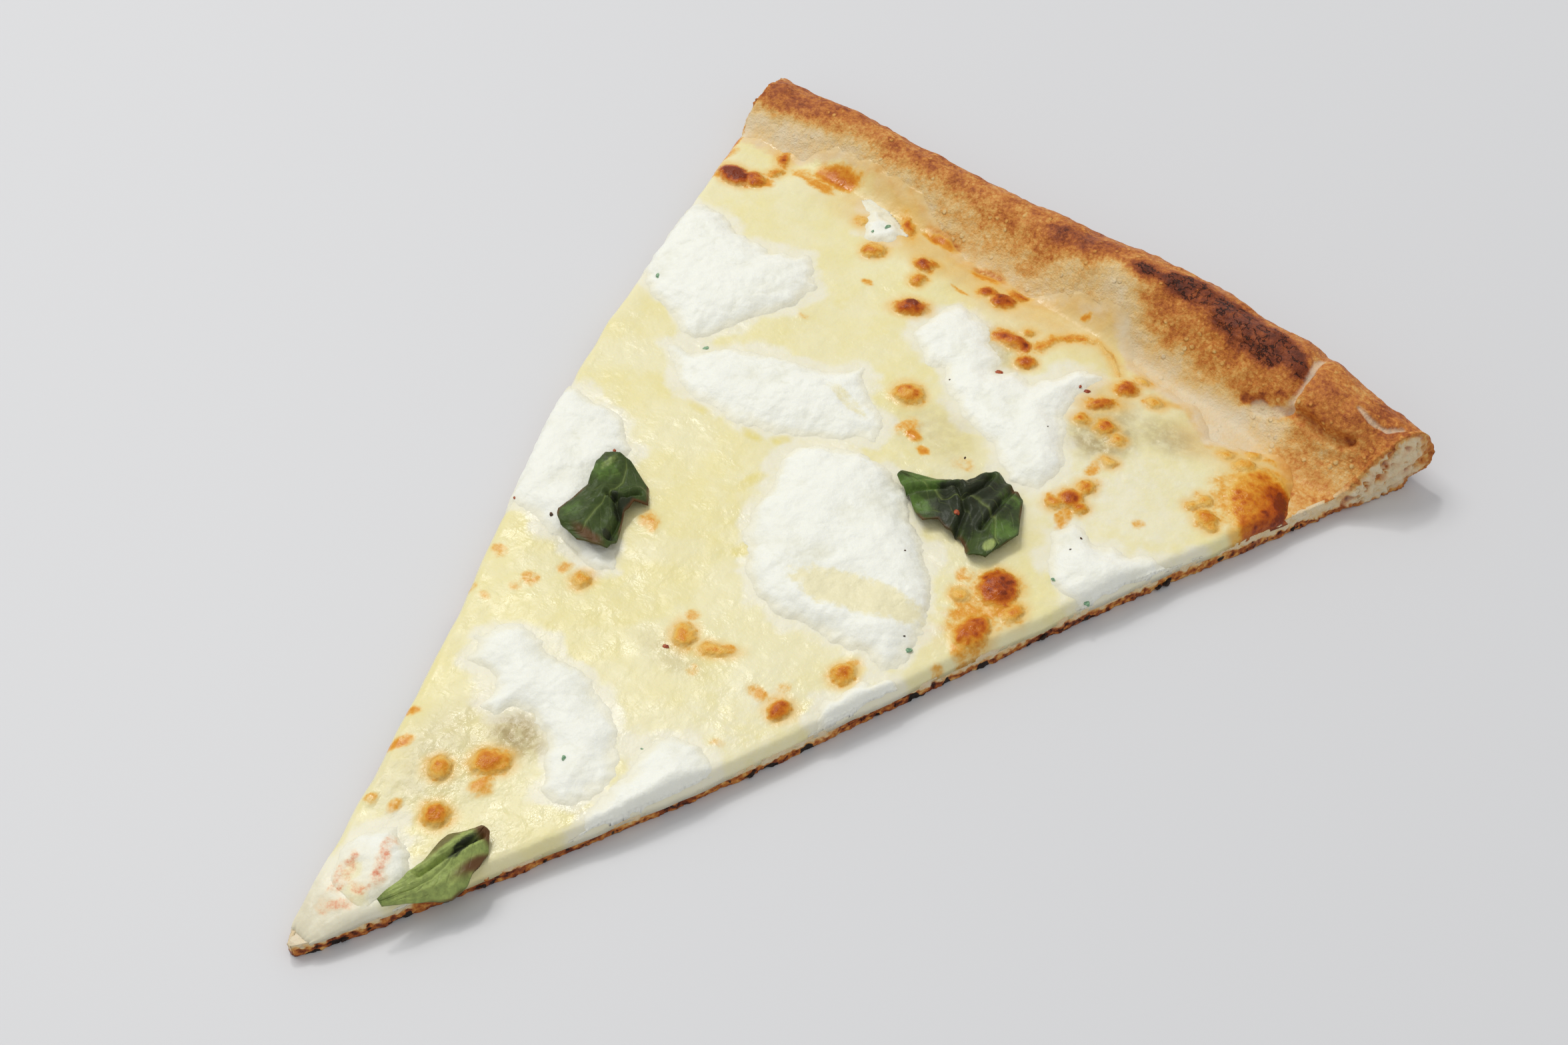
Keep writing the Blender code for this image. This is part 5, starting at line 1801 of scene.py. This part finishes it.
@dataclass(frozen=True)
class BasilPiece:
    """One torn piece of basil: its two sides, and how its surface is bent."""

    name: str
    left: Line
    right: Line
    arch: float
    curl: float
    lift: float
    bruises: tuple[Spot, ...]
    greens: tuple[Spot, ...]
    lights: tuple[Spot, ...]
    folds: tuple[Line, ...]
    browned: tuple[Spot, ...]
    thick: float = 0.4
    columns: int = 84
    rows: int = 110

    def on_side(self, side: Line, share: Array) -> Arrays:
        """Gives the points of one side at these shares of its length."""
        at = np.linspace(0, 1, len(side))
        return np.interp(share, at, [p[0] for p in side]), np.interp(share, at, [p[1] for p in side])

    def build(self, ground: Ground, finish: Material) -> None:
        """Builds the leaf.

        Args:
            ground: the heights of what it lies on.
            finish: the leaf's finish.
        """
        sheet = Sheet(self.name + "_leaf", self.columns, self.rows)
        u, v = sheet.u, sheet.v
        nick = 0.035 * lumps(u * 9, v * 14, 0.0, 2.2, 3, self.arch)
        wide = (u - 0.5) * (1 + nick) + 0.5
        (lx, ly), (rx, ry) = self.on_side(self.left, v), self.on_side(self.right, v)
        x, y = lx + (rx - lx) * wide, ly + (ry - ly) * wide
        widths, lengths = np.linspace(0, 1, 7), np.linspace(0, 1, 13)
        rests = [[ground.height(*self.spot_at(u0, v0), reach=2.0) for u0 in widths] for v0 in lengths]
        rest = self.blended(np.array(rests), u, v)
        arch = self.arch * (1 - (2 * u - 1) ** 2) * (0.6 + 0.4 * np.sin(math.pi * v))
        curl = self.curl * np.cos(4 * math.pi * v + 1) * (2 * u - 1) ** 2
        crumple = 0.35 * lumps(x, y, 0.0, 5.0, 2, 3.3) + 0.14 * lumps(x, y, 0.0, 1.8, 2, 4.3)
        for fold in self.folds:
            away = from_line(x, y, fold)
            ridge, crease = np.maximum(0.0, 1 - np.abs(away - 1.2) / 1.2), np.maximum(0.0, 1 - away / 0.7)
            crumple += 0.7 * ridge - 0.8 * crease
        midrib = hump(u, 0.5, 0.022)
        branch = np.abs((v * 7 - np.abs(u - 0.5) * 5) % 1 - 0.5)
        branches = 0.7 * smoothstep(0.46, 0.5, branch) * smoothstep(0.5, 0.3, np.abs(u - 0.5))
        vein = np.maximum(midrib, branches)
        z = rest + 0.5 + self.lift + arch + np.maximum(-0.8, curl) + crumple - 0.25 * vein
        z += np.where(sheet.depth < 0.5, self.thick, 0.0)
        sheet.shape(FORM.placed(x, y, z))
        sheet.mark("vein", vein)
        sheet.mark("bruise", np.clip(painted(self.bruises, x, y, 0.7), 0, 1))
        sheet.mark("fresh", painted(self.greens, x, y, 0.6))
        sheet.mark("pale", painted(self.lights, x, y, 0.6))
        edge = smoothstep(0.44, 0.5, np.abs(u - 0.5)) * smoothstep(0.0, 0.5, lumps(x, y, 0.0, 6.0, 2, 5.0))
        sheet.mark("dry", np.maximum(edge, painted(self.browned, x, y, 0.5)))
        sheet.dress(finish, Layer.BASIL, [self.name])

    def spot_at(self, u: float, v: float) -> Point:
        """Gives the plan position at these shares of the leaf's width and length."""
        (lx, ly), (rx, ry) = self.on_side(self.left, v), self.on_side(self.right, v)
        return float(lx + (rx - lx) * u), float(ly + (ry - ly) * u)

    def blended(self, grid: Array, u: Array, v: Array) -> Array:
        """Reads a small grid of heights smoothly.

        Args:
            grid: the heights, with a row for each step along v.
            u, v: where on the grid it is read, from 0 to 1.

        Returns:
            The height at each u and v.
        """
        rows, columns = grid.shape
        gu, gv = u * (columns - 1), v * (rows - 1)
        iu, iv = np.minimum(gu.astype(int), columns - 2), np.minimum(gv.astype(int), rows - 2)
        fu, fv = smoothstep(0, 1, gu - iu), smoothstep(0, 1, gv - iv)
        low = grid[iv, iu] * (1 - fu) + grid[iv, iu + 1] * fu
        high = grid[iv + 1, iu] * (1 - fu) + grid[iv + 1, iu + 1] * fu
        return low * (1 - fv) + high * fv


BASIL: tuple[BasilPiece, ...] = (
    BasilPiece(
        name="basil_left",
        left=(
            (-28.2, 107), (-30.8, 105.6), (-30.2, 102.8), (-28.4, 99.8), (-26.9, 97.1), (-27.0, 93.3),
            (-27.3, 89.6), (-25.8, 88), (-24.2, 87.2),
        ),
        right=(
            (-25.8, 107.4), (-19.6, 105.6), (-16.4, 102.2), (-18.2, 100.4), (-17.8, 97.3), (-16.4, 94.9),
            (-14.2, 91.4), (-13.8, 88.6), (-19.5, 86.6),
        ),
        arch=0.9,
        curl=0.8,
        lift=0.4,
        bruises=spots((-18.5, 98, 2.6, 3, 0.8), (-16, 91, 2, 2, 0.6), (-22, 98.5, 1.6, 1.4, 0.6)),
        greens=spots((-27, 102, 3, 4, 0.55), (-25, 91, 2.4, 3, 0.5)),
        lights=spots((-28, 104, 1, 2.4, 0.5)),
        folds=(
            ((-22.6, 98.1), (-20.7, 98.5), (-19.8, 101.2), (-19.1, 102.5)),
            ((-21, 98), (-17.8, 96), (-15.5, 90.7)),
        ),
        browned=spots((-18.4, 88.4, 3.4, 1.1, 0.9)),
    ),
    BasilPiece(
        name="basil_right",
        left=(
            (14.6, 137), (16.6, 136.1), (18.9, 135.1), (22, 133.1), (24.6, 132), (26.7, 134.1),
            (29.1, 133.2), (31.6, 133.1), (33.7, 132.9), (35, 131.8), (36.3, 131.1), (37.7, 131.7),
            (39, 132.3),
        ),
        right=(
            (14.2, 139.1), (16.6, 141.2), (19.5, 142.4), (22, 143.7), (24.7, 143.5), (25.7, 145.5),
            (26.6, 148.1), (28.1, 151), (32.1, 149.6), (35.5, 148.2), (39.2, 142.3), (40.6, 140.2),
            (39.6, 135.6),
        ),
        arch=1.4,
        curl=1.0,
        lift=0.5,
        bruises=spots((28.5, 141, 7, 9, 0.9), (36, 143, 5, 5, 0.5), (31, 136, 6, 2.4, 0.7)),
        greens=spots(
            (19.8, 139.7, 4, 2.6, 1), (17.3, 136.9, 2.6, 1.4, 0.9), (21.9, 134.5, 3, 1.6, 0.9),
            (31.9, 145.4, 2.4, 2.6, 0.8), (34.4, 145.8, 2, 2.2, 0.8), (37.8, 139.2, 2.4, 2.6, 0.9),
        ),
        lights=spots((25.4, 136, 1.4, 1.6, 0.6), (38, 134.6, 1.2, 1.6, 0.8)),
        folds=(
            ((18.2, 135.6), (22, 139.2), (24.3, 142.2)), ((27.7, 140.8), (28.4, 145.8), (27.9, 148.8)),
            ((34.4, 137), (33.7, 142.2), (32.5, 149.1)), ((25.1, 141.9), (29.5, 138.5), (31.4, 133.2)),
        ),
        browned=(),
    ),
    BasilPiece(
        name="basil_tip",
        left=((11.4, 33), (9.4, 30.4), (8.5, 28.3), (8.6, 24.5), (9.1, 20.5), (9.5, 16.5), (9.2, 12.2)),
        right=(
            (13.4, 33), (15.6, 30.4), (16.6, 27.6), (17.3, 23.8), (16.9, 20.8), (14.4, 17.8), (10.4, 12),
        ),
        arch=0.9,
        curl=0.4,
        lift=0.3,
        bruises=spots((12.4, 28, 1.1, 4.4, 0.8)),
        greens=spots((12, 24, 5, 12, 1)),
        lights=spots((11.5, 23, 6, 11, 1.1)),
        folds=(((13.1, 31.5), (12.1, 27.1), (11.3, 23.6), (10.8, 19.7)),),
        browned=spots((13.5, 32.6, 4, 1.5, 1), (16.5, 28.5, 1.3, 5, 1, 0, -14), (9, 28, 0.9, 5, 0.7)),
    ),
)


def new_bit(name: str, uneven: float, size: float, octaves: int, seed: float) -> tuple[Piece, Array]:
    """Makes a small uneven ball.

    Args:
        name: the name of the piece that it becomes part of.
        uneven: how far it departs from round.
        size, octaves, seed: the size of its lumps, how many finer layers they have, and which they are.

    Returns:
        The ball, and its points round its middle, about 1 from it.
    """
    deselect()
    bpy.ops.mesh.primitive_ico_sphere_add(subdivisions=3, radius=1.0, location=(0, 0, 0))
    bit = Piece(name)
    ball = bit.points()
    rough = 1 + uneven * lumps(ball[:, 0], ball[:, 1], ball[:, 2], size, octaves, seed)
    return bit, ball * rough[:, None]


def joined(bits: Sequence[Piece]) -> Piece:
    """Joins some bits.

    Args:
        bits: the bits.

    Returns:
        The first bit, which now holds them all.
    """
    deselect()
    for bit in bits:
        bit.item.select_set(True)
    bpy.context.view_layer.objects.active = bits[0].item
    bpy.ops.object.join()
    return bits[0]


@dataclass
class Scatter:
    """Small irregular bits of one kind, joined into one piece and laid on the slice."""

    name: str
    finish: Fleck
    layer: Layer
    places: tuple[Place, ...]
    seed: int
    thick: float = 0.25
    long: float = 1.5

    def build(self, ground: Ground, material: Material) -> None:
        """Builds the bits.

        Args:
            ground: the heights of what they lie on.
            material: the bits' finish.
        """
        draw = random.Random(self.seed)
        bits = []
        for x, y, size in self.places:
            bit, ball = new_bit(self.name, 0.35, 0.9, 2, x + y)
            turn = draw.uniform(0, math.pi)
            wide, narrow = size * self.long / 2, size / 2
            bx = ball[:, 0] * wide * math.cos(turn) - ball[:, 1] * narrow * math.sin(turn)
            by = ball[:, 0] * wide * math.sin(turn) + ball[:, 1] * narrow * math.cos(turn)
            bz = ball[:, 2] * size * self.thick + ground.height(x, y)
            bit.shape(FORM.placed(x + bx, y + by, bz))
            bits.append(bit)
        joined(bits).dress(material, self.layer)


HERB = Fleck("dried herb", (150, 184, 146), (96, 134, 104))
BURNT_SPECK = Fleck("burnt speck", (96, 66, 40), (50, 36, 26))
PEPPER_FLAKE = Fleck("pepper flake", (176, 84, 40), (128, 50, 26), 0.4)
SCORCHED_CRUMB = Fleck("scorched crumb", (62, 42, 32), (26, 20, 18), 0.8)

HERBS: tuple[Place, ...] = (
    (-57.8, 148.8, 0.9), (-37, 140.5, 0.8), (41, 107.5, 1.1), (58, 137.5, 1.1), (51, 137, 0.7),
    (-32.1, 191.3, 0.9), (-33.5, 188.2, 0.55), (12, 51.5, 0.7), (20, 62, 0.35),
)
DARK_SPECKS: tuple[Place, ...] = (
    (-28.3, 88.7, 0.7), (27, 124, 0.3), (39, 109, 0.35), (49, 148, 0.45), (49.5, 144, 0.35),
    (5.4, 164.7, 0.3), (28, 166, 0.3), (20.2, 150.6, 0.4),
)
PEPPER: tuple[Place, ...] = (
    (11.3, 173, 1.2), (27.4, 179.8, 0.9), (25.9, 179.5, 0.6), (8.2, 80.6, 0.8), (-30.7, 107.9, 0.6),
    (28.9, 136.7, 0.9), (-37.1, 87.7, 0.5),
)


@dataclass
class Scorch:
    """Burnt lumps along the lower edges of the cuts."""

    count: int = 34
    seed: int = 11
    clusters: tuple[float, ...] = (5.6, 13.6, 26.1, 38.9, 70, 96, 126, 153, 153, 175, 181, 187)

    def places(self) -> tuple[tuple[float, float, float, float], ...]:
        """Draws the lumps' places.

        Returns:
            For each lump its plan position, its height and its size, in millimetres.
        """
        draw = random.Random(self.seed)
        made = []
        for _ in range(self.count):
            side = draw.choice((0, 1, 1))
            y = float(np.clip(draw.choice(self.clusters) + draw.gauss(0, 1.6), 3, 186))
            x = float(FORM.cut_sides(np.array([y]))[side][0]) + (0.25 if side else -0.25)
            size = draw.uniform(0.5, 1.25)
            made.append((x, y, draw.uniform(0.35, 0.8) + size * 0.2, size))
        return tuple(made)

    def build(self, material: Material) -> None:
        """Builds the lumps as one piece.

        Args:
            material: the lumps' finish.
        """
        bits = []
        for x, y, z, size in self.places():
            bit, ball = new_bit("scorched_lumps", 0.5, 0.8, 3, x + y)
            ball = ball * (size * 0.45, size * 0.75, size * 0.4)
            bit.shape(FORM.placed(x + ball[:, 0], y + ball[:, 1], np.maximum(0.02, z + ball[:, 2])))
            bits.append(bit)
        joined(bits).dress(material, Layer.DOUGH)


@dataclass(frozen=True)
class Studio:
    """The plain pale floor, the soft light and the camera."""

    camera_place: Place = (0.1764, -0.1919, 0.308)
    look_down: float = 41.28
    look_round: float = 41.07
    lens: float = 50.0
    sensor: float = 36.0
    clip: Point = (0.01, 20.0)
    floor_size: float = 6.0
    floor_level: float = -0.0001
    floor_roughness: float = 0.55
    floor_colour: Colour = (214, 215, 217)
    surround: float = 0.6

    def build_floor(self) -> None:
        """Lays the floor."""
        deselect()
        bpy.ops.mesh.primitive_plane_add(size=self.floor_size, location=(0, 0, self.floor_level))
        floor = bpy.context.object
        floor.name = "floor"
        material = bpy.data.materials.new("pale floor")
        material.use_nodes = True
        shader = material.node_tree.nodes["Principled BSDF"]
        shader.inputs["Base Color"].default_value = rgb(self.floor_colour)
        shader.inputs["Roughness"].default_value = self.floor_roughness
        floor.data.materials.append(material)

    def build_lights(self) -> None:
        """Sets a bright even surround, and a large soft window behind the left side of the slice."""
        world = bpy.data.worlds.new("surround")
        world.use_nodes = True
        background = world.node_tree.nodes["Background"]
        background.inputs["Color"].default_value = (0.99, 0.99, 1.0, 1.0)
        background.inputs["Strength"].default_value = self.surround
        bpy.context.scene.world = world
        self.build_lamp("window", (1.3, 1.0), 24.0, (-1.5, 0.15, 2.2))
        self.build_lamp("glint", (0.22, 0.22), 9.0, (-1.2, 0.75, 2.0))

    def build_lamp(self, name: str, size: Point, power: float, place: Place) -> None:
        """Hangs one soft light that faces the slice.

        Args:
            name: the light's name.
            size: its width and height, in metres.
            power: how strong it is, in watts.
            place: where it hangs, in metres.
        """
        light = bpy.data.lights.new(name, "AREA")
        light.shape, light.size, light.size_y = "RECTANGLE", size[0], size[1]
        light.energy = power
        light.color = (1.0, 0.985, 0.96)
        lamp = bpy.data.objects.new(name, light)
        lamp.location = place
        lamp.rotation_mode = "QUATERNION"
        lamp.rotation_quaternion = (-Vector(place)).to_track_quat("-Z", "Y")
        bpy.context.scene.collection.objects.link(lamp)

    def build_camera(self) -> None:
        """Places the camera where the slice was seen from."""
        data = bpy.data.cameras.new("camera")
        data.lens, data.sensor_width, data.sensor_fit = self.lens, self.sensor, "HORIZONTAL"
        data.clip_start, data.clip_end = self.clip
        camera = bpy.data.objects.new("camera", data)
        camera.location = self.camera_place
        camera.rotation_euler = (math.radians(self.look_down), 0.0, math.radians(self.look_round))
        bpy.context.scene.collection.objects.link(camera)
        bpy.context.scene.camera = camera

    def build(self) -> None:
        """Builds the floor, the lights and the camera."""
        self.build_floor()
        self.build_lights()
        self.build_camera()
        bpy.context.scene.view_settings.view_transform = "Standard"


def main() -> None:
    """Builds the slice, piece by piece, and the studio round it."""
    logging.basicConfig(level=logging.INFO, format="%(message)s")
    browning = Browning().group()
    dough = Dough()
    dough.build(BakedDough().build())
    Cheese(dough).build(MeltedCheese().build(browning))
    curd = SoftCurd().build()
    dollops = [dollop.build(curd).item.name for dollop in DOLLOPS]
    ground = Ground(["dough_skin", "cheese_melt", *dollops])
    leaf = Leaf().build()
    for piece in BASIL:
        piece.build(ground, leaf)
    top = Ground(["dough_skin", "cheese_melt", *dollops, *(piece.name + "_leaf" for piece in BASIL)])
    scatters = (
        Scatter("herb_flecks", HERB, Layer.BASIL, HERBS, seed=77, thick=0.16),
        Scatter("dark_specks", BURNT_SPECK, Layer.DOUGH, DARK_SPECKS, seed=77),
        Scatter("pepper_flakes", PEPPER_FLAKE, Layer.DOUGH, PEPPER, seed=91),
    )
    for scatter in scatters:
        scatter.build(top, scatter.finish.build())
    Scorch().build(SCORCHED_CRUMB.build())
    Studio().build()


if __name__ == "__main__":
    main()
